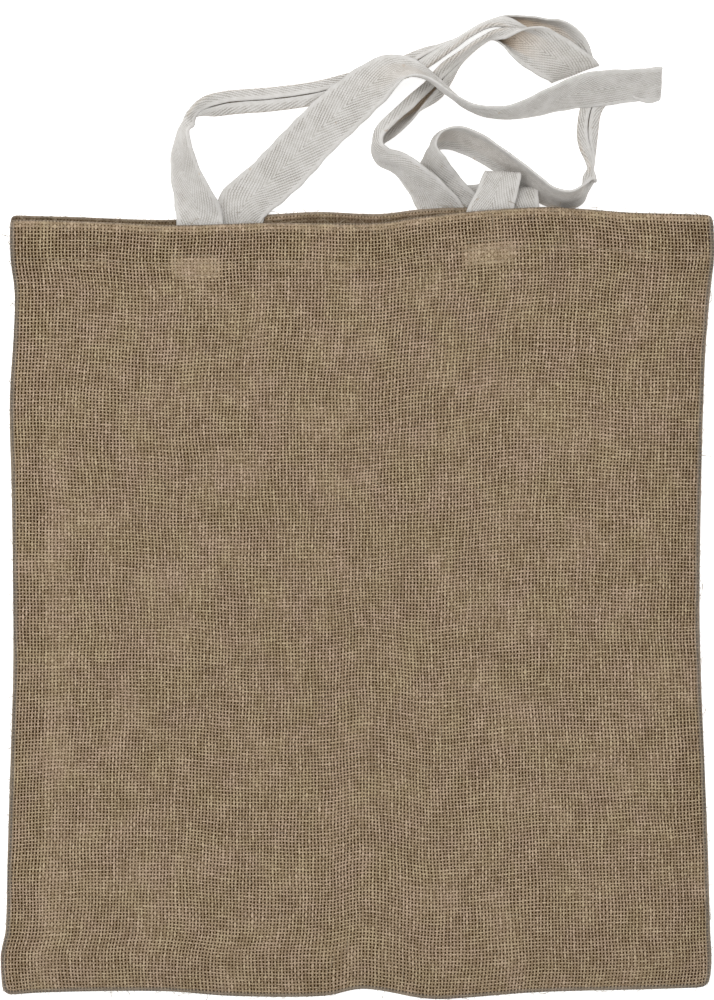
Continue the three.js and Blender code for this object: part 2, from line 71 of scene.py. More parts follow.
# %% [markdown]
# The bag lies on a plain white sheet that is lit from below, as product tables often are.
# Such a sheet could be a lamp of its own; here the table's material simply glows a little
# beside reflecting, which keeps the shadows on it faint and its edge out of sight.

# %% Table
def plain_material(name, colour, roughness):
    material = bpy.data.materials.new(name)
    material.use_nodes = True
    shader = material.node_tree.nodes["Principled BSDF"]
    shader.inputs["Base Color"].default_value = (*colour, 1)
    shader.inputs["Roughness"].default_value = roughness
    return material


bpy.ops.mesh.primitive_plane_add(size=8, location=(0, 0, -0.0004))
table = bpy.context.object
table.name = "table"
table_white = plain_material("pale_table", (0.9, 0.9, 0.9), 0.8)
table_glow = table_white.node_tree.nodes["Principled BSDF"]
table_glow.inputs["Emission Color"].default_value = (1, 1, 1, 1)
table_glow.inputs["Emission Strength"].default_value = 0.6
table.data.materials.append(table_white)
print("table glows at", round(table_glow.inputs["Emission Strength"].default_value, 2))

# %% [markdown]
# The light is that of a light tent: a bright even sky all round, and one large soft lamp
# from the upper left. A sky alone would leave the cloth flat and a small lamp would cut
# hard shadows, so the lamp is 1.8 m wide: yarns and folds get a little shade on the sides
# that face away from it.

# %% Lamp and sky
def soft_lamp(name, size, place, aim, power):
    data = bpy.data.lights.new(name, "AREA")
    data.size = size
    data.energy = power
    lamp = bpy.data.objects.new(name, data)
    lamp.location = place
    direction = np.array(aim) - np.array(place)
    lamp.rotation_euler = (
        math.atan2(math.hypot(direction[0], direction[1]), -direction[2]),
        0,
        math.atan2(direction[1], direction[0]) - math.pi / 2,
    )
    bpy.context.scene.collection.objects.link(lamp)
    return lamp


soft_lamp("key", 1.8, (-0.5, 0.8, 2.0), (0, 0.1, 0), 23)
world = bpy.data.worlds.new("light_tent")
world.use_nodes = True
world.node_tree.nodes["Background"].inputs["Color"].default_value = (1, 1, 1, 1)
world.node_tree.nodes["Background"].inputs["Strength"].default_value = 0.81
bpy.context.scene.world = world
bpy.context.scene.view_settings.view_transform = "Standard"

# %% [markdown]
# ## Reading an edge
#
# The bag's edges are not straight: cloth pulls in between its corners. An edge could be a
# curve object, but a short table of points is easier to change and can be asked
# for thousands of places at once, so this helper runs a smooth curve through such a table.
# All tables in this lesson are in millimetres, and MM turns them into Blender's metres.

# %% Helpers for curves
MM = 0.001


def smooth(value, low, high):
    """0 up to low, 1 from high, and an S-shaped ramp between."""
    t = np.clip((value - low) / (high - low), 0, 1)
    return t * t * (3 - 2 * t)


def along(table, at):
    """Height of the smooth curve through the table's points, at each of the given places."""
    keys, values = np.array(table, float).T
    slopes = np.empty_like(values)
    slopes[0] = (values[1] - values[0]) / (keys[1] - keys[0])
    slopes[-1] = (values[-1] - values[-2]) / (keys[-1] - keys[-2])
    slopes[1:-1] = (values[2:] - values[:-2]) / (keys[2:] - keys[:-2])
    at = np.clip(at, keys[0], keys[-1])
    i = np.clip(np.searchsorted(keys, at, side="right") - 1, 0, len(keys) - 2)
    width = keys[i + 1] - keys[i]
    t = (at - keys[i]) / width
    ease = t * t * (3 - 2 * t)
    bend = t * (1 - t) ** 2 * width * slopes[i] + t * t * (t - 1) * width * slopes[i + 1]
    return values[i] + (values[i + 1] - values[i]) * ease + bend


print("half way up the ramp:", smooth(0.5, 0, 1))

# %% Edges of the bag
LEFT_EDGE = [  # y, x
    (-212, -194.6), (-191, -195.4), (-177, -192.8), (-135, -191.7), (-80, -190), (-40, -188.8),
    (0, -188.7), (60, -189.5), (110, -190.6), (150, -188.3), (170, -187.9), (190, -190),
    (212, -190.4),
]
RIGHT_EDGE = [  # y, x
    (-212, 189.6), (-195, 191.3), (-178, 190.6), (-135, 189.4), (-80, 187.2), (-40, 185.6),
    (0, 184.8), (80, 186), (135, 187.8), (164, 190), (192, 192.6), (212, 191.9),
]
BOTTOM_EDGE = [  # x, y
    (-195, -212.8), (-165, -210.8), (-103, -210.2), (-66, -212.8), (-17, -212.8), (1, -209.1),
    (12, -209.6), (35, -213.9), (48, -214.5), (97, -210.8), (159, -209.1), (192, -208),
]
FRONT_MOUTH = [  # x, y
    (-191, 209.6), (-138, 207.7), (-99, 206.1), (-52, 207.4), (7, 207.2), (27, 209.7),
    (55, 212.9), (98, 215.7), (120, 214.9), (145, 213), (192, 212),
]
BACK_MOUTH = [  # x, y
    (-191, 212.2), (-155, 211.2), (-105, 209.7), (-50, 212.6), (-23, 214), (8, 212.9),
    (34, 215.1), (56, 215.9), (98, 215), (120, 214), (145, 212.2), (192, 211.5),
]
print("mouth of the front panel is", round(along(FRONT_MOUTH, 0).item()), "mm above the middle")

# %% [markdown]
# ## Laying out one panel
#
# Each panel is thought of as an even grid of cloth, 380 mm wide and 424 mm high, that is
# slid onto its real outline. Rows follow the nearer of the bottom and the mouth, columns
# follow the nearer side, and the four corners are rounded. An outline filled with faces
# would be quicker, but a grid keeps the cloth's own coordinates, so that the weave can
# later follow the cloth and not the table.

# %% From flat cloth to its outline
HALF_WIDTH, HALF_HEIGHT = 190, 212
CORNER_RADIUS = 5


def rounded(x, y, corner_x, corner_y, reach=CORNER_RADIUS):
    """Moves the points near a square corner onto a round one."""
    in_x = (x - corner_x) * np.sign(-corner_x)
    in_y = (y - corner_y) * np.sign(-corner_y)
    near = (in_x < reach) & (in_y < reach)
    u = np.where(near, 1 - in_x / reach, 0)
    v = np.where(near, 1 - in_y / reach, 0)
    length = np.maximum(np.hypot(u, v), 1e-6)
    pull = np.where(near, np.maximum(u, v) / length, 1)
    x = np.where(near, corner_x + np.sign(-corner_x) * reach * (1 - u * pull), x)
    y = np.where(near, corner_y + np.sign(-corner_y) * reach * (1 - v * pull), y)
    return x, y


def laid_out(mouth, flat_x, flat_y):
    """Place on the table of points given by their place on the flat cloth."""
    low = along(BOTTOM_EDGE, flat_x) + flat_y + HALF_HEIGHT
    high = along(mouth, flat_x) - (HALF_HEIGHT - flat_y)
    y = low + (high - low) * smooth(flat_y, -150, 150)
    left = along(LEFT_EDGE, y) + flat_x + HALF_WIDTH
    right = along(RIGHT_EDGE, y) - (HALF_WIDTH - flat_x)
    x = left + (right - left) * smooth(flat_x, -140, 140)
    return x, y


foot_x, foot_y = laid_out(FRONT_MOUTH, np.array([-HALF_WIDTH, HALF_WIDTH]), np.full(2, -HALF_HEIGHT))
print("the foot of the bag is", round(foot_x[1] - foot_x[0]), "mm wide")

# %% [markdown]
# ## Heights
#
# The back panel lies flat, except where a handle's folded end is tucked under its rim and
# lifts it. The front panel comes up from the seams in a round shoulder, over the two hems
# at the mouth, and has a few soft folds pressed into it. A cloth simulation could drop it
# there, but would never land the same folds twice, so each fold is a written bump that
# fades along a line, and a few slow waves from sines keep the rest from lying quite even.

# %% Heights of the cloth over the table
CLOTH = 1.2
HEM_DEPTH = 26
SEAM_GAP = 0.3
BODY_LOFT, MOUTH_LOFT = 6, 8.6
SEAM_ROLL = 26
FOLDS = [  # x, y and height at one end, the same at the other end, half width
    (6, -214, 2.4, 4, -60, 0, 9),
    (36, -214, -0.9, 34, -120, 0, 16),
    (22, 212, -1.2, 12, 150, 0, 12),
    (-150, -190, 0.8, -110, -60, 0, 22),
    (140, 190, 0.7, 120, 60, 0, 24),
]


def fold_heights(x, y):
    total = np.zeros_like(x)
    for x0, y0, h0, x1, y1, h1, half in FOLDS:
        dx, dy = x1 - x0, y1 - y0
        t = np.clip(((x - x0) * dx + (y - y0) * dy) / (dx * dx + dy * dy), 0, 1)
        away = np.hypot(x - x0 - t * dx, y - y0 - t * dy) / half
        total += (h0 + (h1 - h0) * t) * np.exp(-away * away)
    return total


def slow_waves(x, y):
    return (
        0.30 * np.sin(x / 31 + 0.6 * np.sin(y / 57)) * np.sin(y / 43 + 1.1)
        + 0.16 * np.sin(x / 13.7 + y / 61 + 2.0) * np.sin(y / 19.3 + 0.4)
    )


def rim_lift(x, y):
    sideways = 1 - smooth(np.abs(x - 66), 33, 53)
    return 6.6 * sideways * smooth(y, 172, 203)


def front_height(x, y, from_edge, from_mouth):
    """Middle of the front panel's outer layer."""
    swell = np.sin(np.minimum(from_edge / SEAM_ROLL, 1) * math.pi / 2)
    hems = 2 * CLOTH * (1 - smooth(from_mouth, HEM_DEPTH + 1, HEM_DEPTH + 7))
    seam = CLOTH + SEAM_GAP + hems * (1 - swell)
    loft = MOUTH_LOFT + (BODY_LOFT - MOUTH_LOFT) * smooth(from_mouth, HEM_DEPTH + 4, HEM_DEPTH + 70)
    shape = (loft + fold_heights(x, y) + slow_waves(x, y)) * swell
    return seam + shape + rim_lift(x, y) * 0.7 + CLOTH / 2


def back_height(x, y, from_edge, from_mouth):
    """Middle of the back panel's outer layer, the one on the table."""
    return rim_lift(x, y) + CLOTH / 2


middle = front_height(np.zeros(1), np.zeros(1), np.full(1, 200.0), np.full(1, 200.0))
print("the front panel lies", round(middle[0], 1), "mm over the table in its middle")

# %% [markdown]
# ## One panel as one strip of cloth
#
# A real panel runs up the outside of the bag, turns over the rim and comes down again
# inside as the hem. So the grid has rows for the outer layer, a half turn of rows for the
# fold, and rows for the hem. A flat box with a band laid on it would look alike from above,
# but its rim would not turn over. The cloth is made as a surface without thickness, and the
# Solidify modifier then gives it both sides and its raw edges. At the sides and the bottom
# the last rows turn towards the seam, which is inside.

# %% Cloth as a grid
def spaced(stops, step):
    """Places between the stops, at most a step apart."""
    places = [stops[0]]
    for low, high in zip(stops, stops[1:]):
        count = max(1, math.ceil((high - low) / step))
        places += [low + (high - low) * (i + 1) / count for i in range(count)]
    return np.array(places)


def grid_mesh(name, points, flat):
    """A mesh of rows and columns of points, with the flat cloth in its UV map."""
    rows, columns = points.shape[:2]
    mesh = bpy.data.meshes.new(name)
    index = np.arange(rows * columns).reshape(rows, columns)
    quads = np.stack([index[:-1, :-1], index[:-1, 1:], index[1:, 1:], index[1:, :-1]], -1)
    quads = quads.reshape(-1, 4)
    mesh.from_pydata((points.reshape(-1, 3) * MM).tolist(), [], quads.tolist())
    layer = mesh.uv_layers.new(name="flat_cloth")
    layer.data.foreach_set("uv", (flat.reshape(-1, 2)[quads.ravel()] * MM).astype(np.float32).ravel())
    mesh.shade_smooth()
    piece = bpy.data.objects.new(name, mesh)
    bpy.context.scene.collection.objects.link(piece)
    return piece


def settled(piece):
    """Turns a piece with its modifiers into a plain mesh."""
    depsgraph = bpy.context.evaluated_depsgraph_get()
    mesh = bpy.data.meshes.new_from_object(piece.evaluated_get(depsgraph))
    piece.modifiers.clear()
    piece.data = mesh
    mesh.name = piece.name
    print(piece.name, len(mesh.polygons), "faces")
    return piece


def thicken(piece, thickness):
    """Gives a surface the thickness of its cloth, half to each side."""
    solidify = piece.modifiers.new("thickness", "SOLIDIFY")
    solidify.thickness = thickness * MM
    solidify.offset = 0
    solidify.use_even_offset = False
    return settled(piece)


print("places 4 mm apart or less:", spaced([0, 10], 4).tolist())

# %% Two panels
SEAM_RADIUS = 0.75


def panel(name, mouth, height, hem_side):
    edge = [0, 0.12, 0.35, 0.75, 1.5, 3]
    columns = spaced([-HALF_WIDTH + e for e in edge] + [HALF_WIDTH - e for e in edge[::-1]], 3.4)
    hem_end, rim = HALF_HEIGHT - HEM_DEPTH, HALF_HEIGHT - CLOTH / 2
    outer = spaced([-HALF_HEIGHT + e for e in edge] + [hem_end, rim], 3.4)
    turn = np.linspace(0, math.pi, 9)[1:-1]
    hem = spaced([hem_end, HALF_HEIGHT - 5, rim], 3.4)[::-1]
    flat_y = np.concatenate([outer, rim + np.sin(turn) * CLOTH / 2, hem])
    side = np.concatenate([np.zeros(len(outer)), (1 - np.cos(turn)) / 2, np.ones(len(hem))])
    travel = np.concatenate([[0], np.cumsum(np.hypot(np.diff(flat_y), np.diff(side) * CLOTH))])
    u, v = np.meshgrid(columns, flat_y)
    from_mouth = HALF_HEIGHT - v
    cut_u, cut_v = rounded(u, v, -HALF_WIDTH, -HALF_HEIGHT)
    cut_u, cut_v = rounded(cut_u, cut_v, HALF_WIDTH, -HALF_HEIGHT)
    cut_u, cut_v = rounded(cut_u, cut_v, -HALF_WIDTH, HALF_HEIGHT, 3)
    cut_u, cut_v = rounded(cut_u, cut_v, HALF_WIDTH, HALF_HEIGHT, 3)
    x, y = laid_out(mouth, cut_u, cut_v)
    from_edge = np.minimum(HALF_WIDTH - np.abs(u), v + HALF_HEIGHT)
    z = height(x, y, from_edge, from_mouth) + hem_side * CLOTH * side[:, None]
    short = np.clip(SEAM_RADIUS - from_edge, 0, SEAM_RADIUS)
    z += hem_side * (SEAM_RADIUS - np.sqrt(SEAM_RADIUS**2 - short**2)) * (1 - side[:, None])
    flat = np.stack([u, np.broadcast_to(travel[:, None], u.shape)], -1)
    points = np.stack([x, y, z], -1)
    if hem_side > 0:
        points, flat = points[:, ::-1], flat[:, ::-1]
    return thicken(grid_mesh(name, points, flat), 1.1)


front_panel = panel("front_cloth", FRONT_MOUTH, front_height, -1)
back_panel = panel("back_cloth", BACK_MOUTH, back_height, 1)

# %% [markdown]
# ## The handles
#
# A handle is a flat cotton tape, 25 mm wide, that twists, folds over and lies across
# itself. It could be draped by a cloth simulation, but the photograph shows one particular
# tangle, so it is written down instead: a table of sections along the tape, each with its
# middle, the direction and tilt of its width, how far its edges curl over, and a factor
# for sections that are cut aslant by a fold.

# %% Sections of the front handle
TAPE_WIDTH = 25
TAPE = 1.2
FRONT_HANDLE = [  # x, y, z, yaw, roll, curl, wide
    (-87, 179.5, 8, 0, -180, 0, 1),
    (-87, 196, 7.8, 0, -180, 0, 1),
    (-87, 209, 7.7, 0, -180, 0, 1),
    (-87.6, 213.4, 8, 3, -175, 0, 1),
    (-90.1, 221, 9.5, 8, -150, 0, 1),
    (-95.4, 236, 10.5, 12, -130, 0.02, 1),
    (-98, 249.5, 11.5, 4, -116, 0.08, 1),
    (-97.2, 259, 11.5, -12, -104, 0.14, 0.92),
    (-94.8, 265.4, 9, -28, -88, 0.75, 0.66),
    (-89.6, 269.8, 6, -50, -62, 1, 0.95),
    (-82, 272.4, 2.8, -66, -30, 1, 1.06),
    (-71, 274.2, 0.8, -80, -6, 1, 1.08),
    (-49, 275.8, 0.7, -83, 0, 1, 1.08),
    (-24.6, 279.2, 0.7, -78, 0, 1, 1.04),
    (-5.5, 284.2, 0.7, -73, 0, 1, 1),
    (14, 290, 0.7, -72, 0, 1, 1),
    (28, 294.8, 0.7, -69, 2, 1, 1),
    (38, 299, 4.2, -66, 34, 1, 1),
    (49.8, 304, 7, -60, 66, 1, 1),
    (59.8, 309.4, 7.4, -56, 82, 0.98, 1),
    (68.6, 314, 7.4, -66, 84, 0.95, 1),
    (77.6, 315.8, 6.8, -82, 72, 0.86, 1),
    (87.4, 314.8, 4, -96, 36, 0.72, 1),
    (98.2, 312, 1.4, -102, 10, 0.52, 1),
    (107, 309.2, 0.7, -120, 0, 0.34, 1),
    (112.2, 303.6, 0.7, -146, 0, 0.18, 1),
    (114.6, 297, 0.7, -168, 0, 0.04, 1),
    (117.6, 291.8, 0.7, -164, 0, 0, 1.06),
    (117.6, 290, 2.2, -160, 0, 0, 1.1),
    (116.4, 291.2, 3.8, -152, 0, 0, 1.08),
    (110, 295.4, 6.8, -127, 0, -0.02, 1),
    (99, 301.4, 9.4, -120, -4, -0.08, 1),
    (89, 306.2, 10.4, -115, -16, -0.35, 1),
    (80.5, 309.6, 9.4, -100, -48, -0.75, 1),
    (72, 311, 7.6, -68, -80, -0.97, 1),
    (64.4, 307, 7, -54, -82, -1, 1),
    (57.4, 301.8, 6.6, -47, -76, -1, 1),
    (50.8, 295.6, 5, -42, -60, -1, 1),
    (45.2, 288.6, 2, -37, -28, -1, 1),
    (40, 281.4, 0.7, -40, -8, -0.92, 1),
    (29.2, 273.8, 3.2, -50, -44, -0.8, 1),
    (17.4, 264.8, 8, -50, -64, -0.6, 1),
    (8.8, 256.8, 10, -32, -80, -0.42, 1),
    (7, 248.7, 11, -5, -97, -0.3, 1),
    (11, 241.6, 11.5, 34, -110, -0.26, 1),
    (20, 237.8, 11.4, 52, -119, -0.2, 0.95),
    (31, 230, 9.8, 48, -132, -0.1, 0.9),
    (38.8, 222.4, 7, 34, -150, -0.02, 0.88),
    (44, 216.6, 5.4, 16, -174, 0, 0.92),
    (47, 211.2, 5.2, 8, -180, 0, 1),
    (52, 206.4, 5, 4, -180, 0, 1.26),
    (53.8, 204.4, 4, -4, -180, 0, 1.3),
    (54.2, 204, 2.8, -5, -180, 0, 1.3),
    (54.8, 204.4, 1.5, -6, -180, 0, 1.3),
    (56.6, 206.4, 0.7, -14, -180, 0, 1.24),
    (61, 211.4, 0.7, -30, -180, 0, 1.1),
    (65.6, 217.4, 0.7, -40, -180, 0, 1),
    (70, 223, 0.7, -34, -180, 0, 0.85),
    (73.4, 227, 0.7, -20, -180, 0, 0.7),
    (75.4, 229.6, 1.3, -8, -180, 0, 0.62),
    (76, 230.5, 3, -4, -180, 0, 0.62),
    (76.2, 231.2, 5.6, -3, -176, 0, 0.66),
    (76.8, 232.4, 9, -4, -168, 0, 0.74),
    (77.3, 234.4, 11.6, -6, -161, 0, 0.8),
    (77.4, 235.2, 13, -5, -160, 0, 0.8),
    (77.2, 234.4, 14.4, -3, -161, 0, 0.82),
    (75.9, 229.6, 14.6, 5, -167, 0, 0.92),
    (72.4, 220, 12.9, 8, -176, 0, 1.04),
    (70.2, 211.6, 12.2, 6, -180, 0, 1.12),
    (69.6, 201, 12, 2, -180, 0, 1.06),
    (70, 192, 11.2, 0, -180, 0, 1),
    (70, 185, 10, 0, -180, 0, 1),
]
print(len(FRONT_HANDLE), "sections")

# %% Sections of the back handle
BACK_HANDLE = [  # x, y, z, yaw, roll, curl, wide
    (-67, 181, 3.4, 0, 0, 0, 1),
    (-67, 196, 3.4, 0, 0, 0, 1),
    (-66.4, 210, 3.5, -8, 0, 0, 1.06),
    (-62.2, 219.8, 3.4, -28, 0, 0, 1.1),
    (-52.3, 228.4, 2.2, -44, 0, 0, 1.08),
    (-36.7, 243.5, 3, -44, 0, 0, 1.08),
    (-21.7, 259.1, 6.2, -43, 2, 0, 1.08),
    (-5.9, 273.2, 8.4, -44, 5, 0, 1.04),
    (7.4, 283.8, 10.5, -56, 16, 0.04, 1),
    (18.4, 289.2, 13, -80, 40, 0.1, 1),
    (27.6, 289.4, 15, -104, 61, 0.14, 1),
    (36.6, 285.6, 17.6, -120, 76, 0.14, 1),
    (46.4, 277.8, 17.8, -125, 82, 0.14, 1),
    (58.6, 269.4, 13.2, -115, 88, 0.16, 1),
    (72.8, 265.8, 12, -96, 96, 0.14, 1),
    (84.5, 266.6, 12, -78, 103, 0.1, 1),
    (96, 270.6, 11.4, -68, 111, 0.06, 1),
    (108, 275.2, 11.4, -67, 120, 0.04, 1),
    (121, 279, 12.8, -77, 130, 0.02, 1),
    (137, 281.4, 13, -86, 131, 0, 1),
    (150, 282.4, 13, -87, 128, 0, 1),
    (160.5, 283, 13, -88, 126, 0, 1),
    (163.2, 283.1, 12.3, -88, 126, 0, 1),
    (163.2, 283.4, 11, -88, 128, 0, 1),
    (159.5, 283.4, 9.2, -89, 138, 0.06, 0.94),
    (153, 284.6, 5.2, -90, 156, 0.4, 0.8),
    (147.5, 283, 1.8, -86, 174, 0.85, 0.9),
    (142, 281.6, 0.7, -76, 180, 1, 1),
    (135, 279.4, 0.7, -60, 180, 1, 1),
    (129.2, 275.6, 0.7, -36, 180, 1, 0.95),
    (125.8, 269.4, 0.7, -17, 180, 1, 0.95),
    (124.2, 260, 0.7, -5, 176, 1, 0.95),
    (123.6, 252, 2.6, 2, 152, 1, 0.95),
    (124, 246, 4.4, 2, 128, 1, 0.98),
    (124.6, 241.4, 5.6, 0, 112, 1, 0.92),
    (124.6, 237.2, 6.6, -3, 102, 1, 0.82),
    (122, 232.8, 9, -12, 96, 0.45, 0.8),
    (121.3, 227.8, 10.8, -34, 98, 0.12, 0.95),
    (118.6, 223.6, 11.5, -58, 107, 0.08, 1),
    (112.6, 221.2, 11.3, -84, 110, 0.06, 1),
    (104.4, 222.6, 11, -108, 111, 0.06, 1),
    (96.6, 227.6, 10.8, -125, 112, 0.06, 1),
    (88, 234.8, 10.6, -130, 113, 0.08, 1),
    (77.4, 242.6, 10.4, -127, 115, 0.1, 1),
    (66, 249.8, 10, -119, 118, 0.1, 1),
    (55, 254.6, 10, -98, 118, 0.1, 1),
    (44.8, 255.2, 11, -66, 110, 0.16, 1),
    (38.4, 250, 11, -24, 90, 0.2, 1),
    (37.4, 242.4, 9, 8, 62, 0.12, 1),
    (39.4, 234.8, 6.8, 24, 38, 0.05, 1),
    (44, 227, 4.8, 28, 18, 0, 1),
    (50.4, 221, 3.8, 14, 6, 0, 1.08),
    (55, 217.4, 3.7, -8, 0, 0, 1.22),
    (56.8, 216.4, 2.95, -19, 0, 0, 1.26),
    (58.8, 217, 2.2, -32, 0, 0, 1.14),
    (64, 218.8, 2.2, -56, 0, 0, 0.96),
    (70, 219.8, 2.2, -72, 0, 0, 0.8),
    (76, 220.6, 2.2, -60, 0, 0, 0.7),
    (81.4, 222, 2.2, -34, 0, 0, 0.74),
    (84.2, 224.6, 2.5, -14, 0, 0, 0.88),
    (84.8, 226.6, 3.8, -5, 0, 0, 0.96),
    (84.8, 227.3, 6, -2, 0, 0, 1),
    (84.7, 226.2, 8.8, 0, 0, 0, 1),
    (84.6, 220.4, 10.2, 0, 0, 0, 1),
    (84.6, 211, 10.2, 0, 0, 0, 1),
    (84.6, 202, 10.1, 0, 0, 0, 1),
    (84.6, 194, 9.3, 0, 0, 0, 1),
    (84.6, 184, 6.6, 0, 0, 0, 1),
]
print(len(BACK_HANDLE), "sections")

# %% [markdown]
# Straight lines between the sections would give the tape corners. So the middles are joined
# by a smooth curve that never overshoots where two sections lie close together, which is
# called centripetal. Angles and curl are joined by a plain one.

# %% Curves through the sections
def spline(points, stops, even):
    """Points of a curve through the given ones, one for each stop between 0 and 1."""
    points = np.vstack([2 * points[0] - points[1], points, 2 * points[-1] - points[-2]])
    last = len(points) - 3
    at = np.minimum((stops * last).astype(int), last - 1)
    t = (stops * last - at)[:, None]
    p0, p1, p2, p3 = (points[at + k] for k in range(4))
    if even:
        enter, leave = (p2 - p0) / 2, (p3 - p1) / 2
    else:
        steps = (p1 - p0, p2 - p1, p3 - p2)
        d0, d1, d2 = (np.linalg.norm(step, axis=1, keepdims=True) ** 0.5 for step in steps)
        enter = ((p1 - p0) / d0 - (p2 - p0) / (d0 + d1) + (p2 - p1) / d1) * d1
        leave = ((p2 - p1) / d1 - (p3 - p1) / (d1 + d2) + (p3 - p2) / d2) * d1
    return (
        p1
        + enter * t
        + (-3 * p1 + 3 * p2 - 2 * enter - leave) * t**2
        + (2 * p1 - 2 * p2 + enter + leave) * t**3
    )


corner = np.array([[0, 0], [10, 0], [10, 10]], float)
print("a rounded corner passes", spline(corner, np.array([0.25]), False).round(1).tolist())

# %% [markdown]
# Across its width the tape is flat, or a quarter of it is folded over from each edge, as
# worn tape likes to do. Two hinged strips would make a fold with a sharp crease; the
# section is walked from the middle outwards instead, turning as it goes, so that the crease
# is round and the tape keeps its width.

# %% The tape's section
FULL_CURL = math.radians(170)
CURL_BEND = 3.2


def section(curl, across):
    """Sideways place and height of points across the tape, for each curl in an array."""
    steps = 120
    s = np.linspace(0, TAPE_WIDTH / 2, steps + 1)
    fold = TAPE_WIDTH * 0.25
    turn = curl[:, None] * FULL_CURL * smooth(s, fold - CURL_BEND / 2, fold + CURL_BEND / 2)
    middle = (turn[:, 1:] + turn[:, :-1]) / 2
    ds = s[1] - s[0]
    zero = np.zeros((len(curl), 1))
    sideways = np.hstack([zero, np.cumsum(np.cos(middle), 1) * ds])
    height = np.hstack([zero, np.cumsum(np.sin(middle), 1) * ds])
    pick = np.round(np.abs(across) / (TAPE_WIDTH / 2) * steps).astype(int)
    return sideways[:, pick] * np.sign(across), height[:, pick]


closed, _ = section(np.ones(1), np.linspace(-TAPE_WIDTH / 2, TAPE_WIDTH / 2, 27))
print("a folded tape is", round(closed.max() - closed.min(), 1), "mm wide")

# %% [markdown]
# Used tape is never quite even. Its selvedges waver and its face is a little rippled. Noise
# could do this, but a few sines along and across the tape are enough, and stay the same.

# %% Small unevenness of used tape
def worn(sideways, height, curl, u, v):
    """Selvedges that waver by a fraction of a millimetre, and a slightly rippled face."""
    waver = 0.2 * np.sin(u / 2.1 + np.sign(v)) + 0.22 * np.sin(u / 6.3 + 2 * np.sign(v) + 1)
    waver = waver * (np.abs(v) / (TAPE_WIDTH / 2)) ** 3 * (1 - 0.75 * np.abs(curl[:, None]))
    ripple = 0.14 * np.sin(u / 5.7 + v / 6) * np.sin(v / 3.9 + u / 19) + 0.1 * np.sin(u / 2.6 - v / 4)
    return sideways + waver, height + ripple


# %% [markdown]
# A tape is then a grid again: one row of points at each small step along the curve, laid
# out along the width's direction and the direction that the tape faces. A curve with a
# bevel would be shorter to write, but could not fold its edges over. Each point also
# stores how far a fold is closed over it, for the light in there.

# %% Two handles
def shade_folds(piece, points, inward, closed):
    """Stores how closed the fold is, on the one of the tape's two faces that lies in it."""
    places = np.empty(len(piece.data.vertices) * 3, np.float32)
    piece.data.vertices.foreach_get("co", places)
    both_faces = places.reshape(2, *points.shape) / MM
    in_fold = ((both_faces - points) * inward).sum(-1) > 0
    shaded = piece.data.attributes.new("shaded", "FLOAT", "POINT")
    shaded.data.foreach_set("value", (closed * in_fold).astype(np.float32).ravel())
    print(piece.name, "is in a fold at", round(100 * (closed * in_fold > 0.5).mean()), "% of its points")


def tape(name, rows):
    """A handle along its table of sections, and its length in metres."""
    rows = np.array(rows, float)
    parts = []
    for a, b in zip(rows, rows[1:]):
        reach = max(np.linalg.norm(b[:3] - a[:3]), np.abs(b[3:5] - a[3:5]).max() * 0.12)
        parts.append(max(2, math.ceil(reach / 1.3)))
    last = len(rows) - 1
    stops = np.concatenate([(i + np.arange(n) / n) / last for i, n in enumerate(parts)] + [[1.0]])
    centre = spline(rows[:, :3], stops, False)
    ahead = spline(rows[:, :3], np.minimum(stops + 1e-4, 1), False)
    behind = spline(rows[:, :3], np.maximum(stops - 1e-4, 0), False)
    travel = ahead - behind
    travel /= np.linalg.norm(travel, axis=1, keepdims=True)
    yaw, roll, curl = spline(rows[:, 3:6], stops, True).T
    yaw, roll = np.radians(yaw), np.radians(roll)
    wide = np.interp(stops * last, np.arange(last + 1), rows[:, 6])
    width = np.stack([np.cos(roll) * np.cos(yaw), np.cos(roll) * np.sin(yaw), np.sin(roll)], 1)
    face = np.cross(width, travel)
    face /= np.linalg.norm(face, axis=1, keepdims=True)
    across = np.linspace(-TAPE_WIDTH / 2, TAPE_WIDTH / 2, 27)
    sideways, height = section(curl, across)
    length = np.concatenate([[0], np.cumsum(np.linalg.norm(np.diff(centre, axis=0), axis=1))])
    sideways, height = worn(sideways, height, curl, length[:, None], across[None])
    points = (
        centre[:, None]
        + width[:, None] * (sideways * wide[:, None])[..., None]
        + face[:, None] * height[..., None]
    )
    lift = np.maximum(0, TAPE / 2 + 0.05 - points[..., 2].min(1))
    points[..., 2] += lift[:, None]
    flat = np.stack(np.broadcast_arrays(length[:, None], across[None]), -1)
    print(name, "is", round(length[-1]), "mm long")
    piece = thicken(grid_mesh(name, points, flat), 1.1)
    under_fold = 1 - smooth(np.abs(across), 5.2, 7.4)[None]
    closed = np.clip(np.abs(curl) * 1.15, 0, 1)[:, None] * under_fold
    shade_folds(piece, points, face[:, None] * np.sign(curl)[:, None, None], closed)
    return piece, length[-1] * MM


back_handle, back_length = tape("back_tape", BACK_HANDLE)
front_handle, front_length = tape("front_tape", FRONT_HANDLE)

# %% [markdown]
# ## Shader arithmetic
#
# Both cloths are far too fine to be modelled thread by thread: one panel alone would need
# two hundred yarns each way. A photograph of cloth could be laid on instead, but it would
# repeat and could not be changed. So the weaves are drawn by arithmetic on the flat cloth's
# coordinates, with Math nodes. A weave takes dozens of them, so a small helper lets us
# write them as formulas.

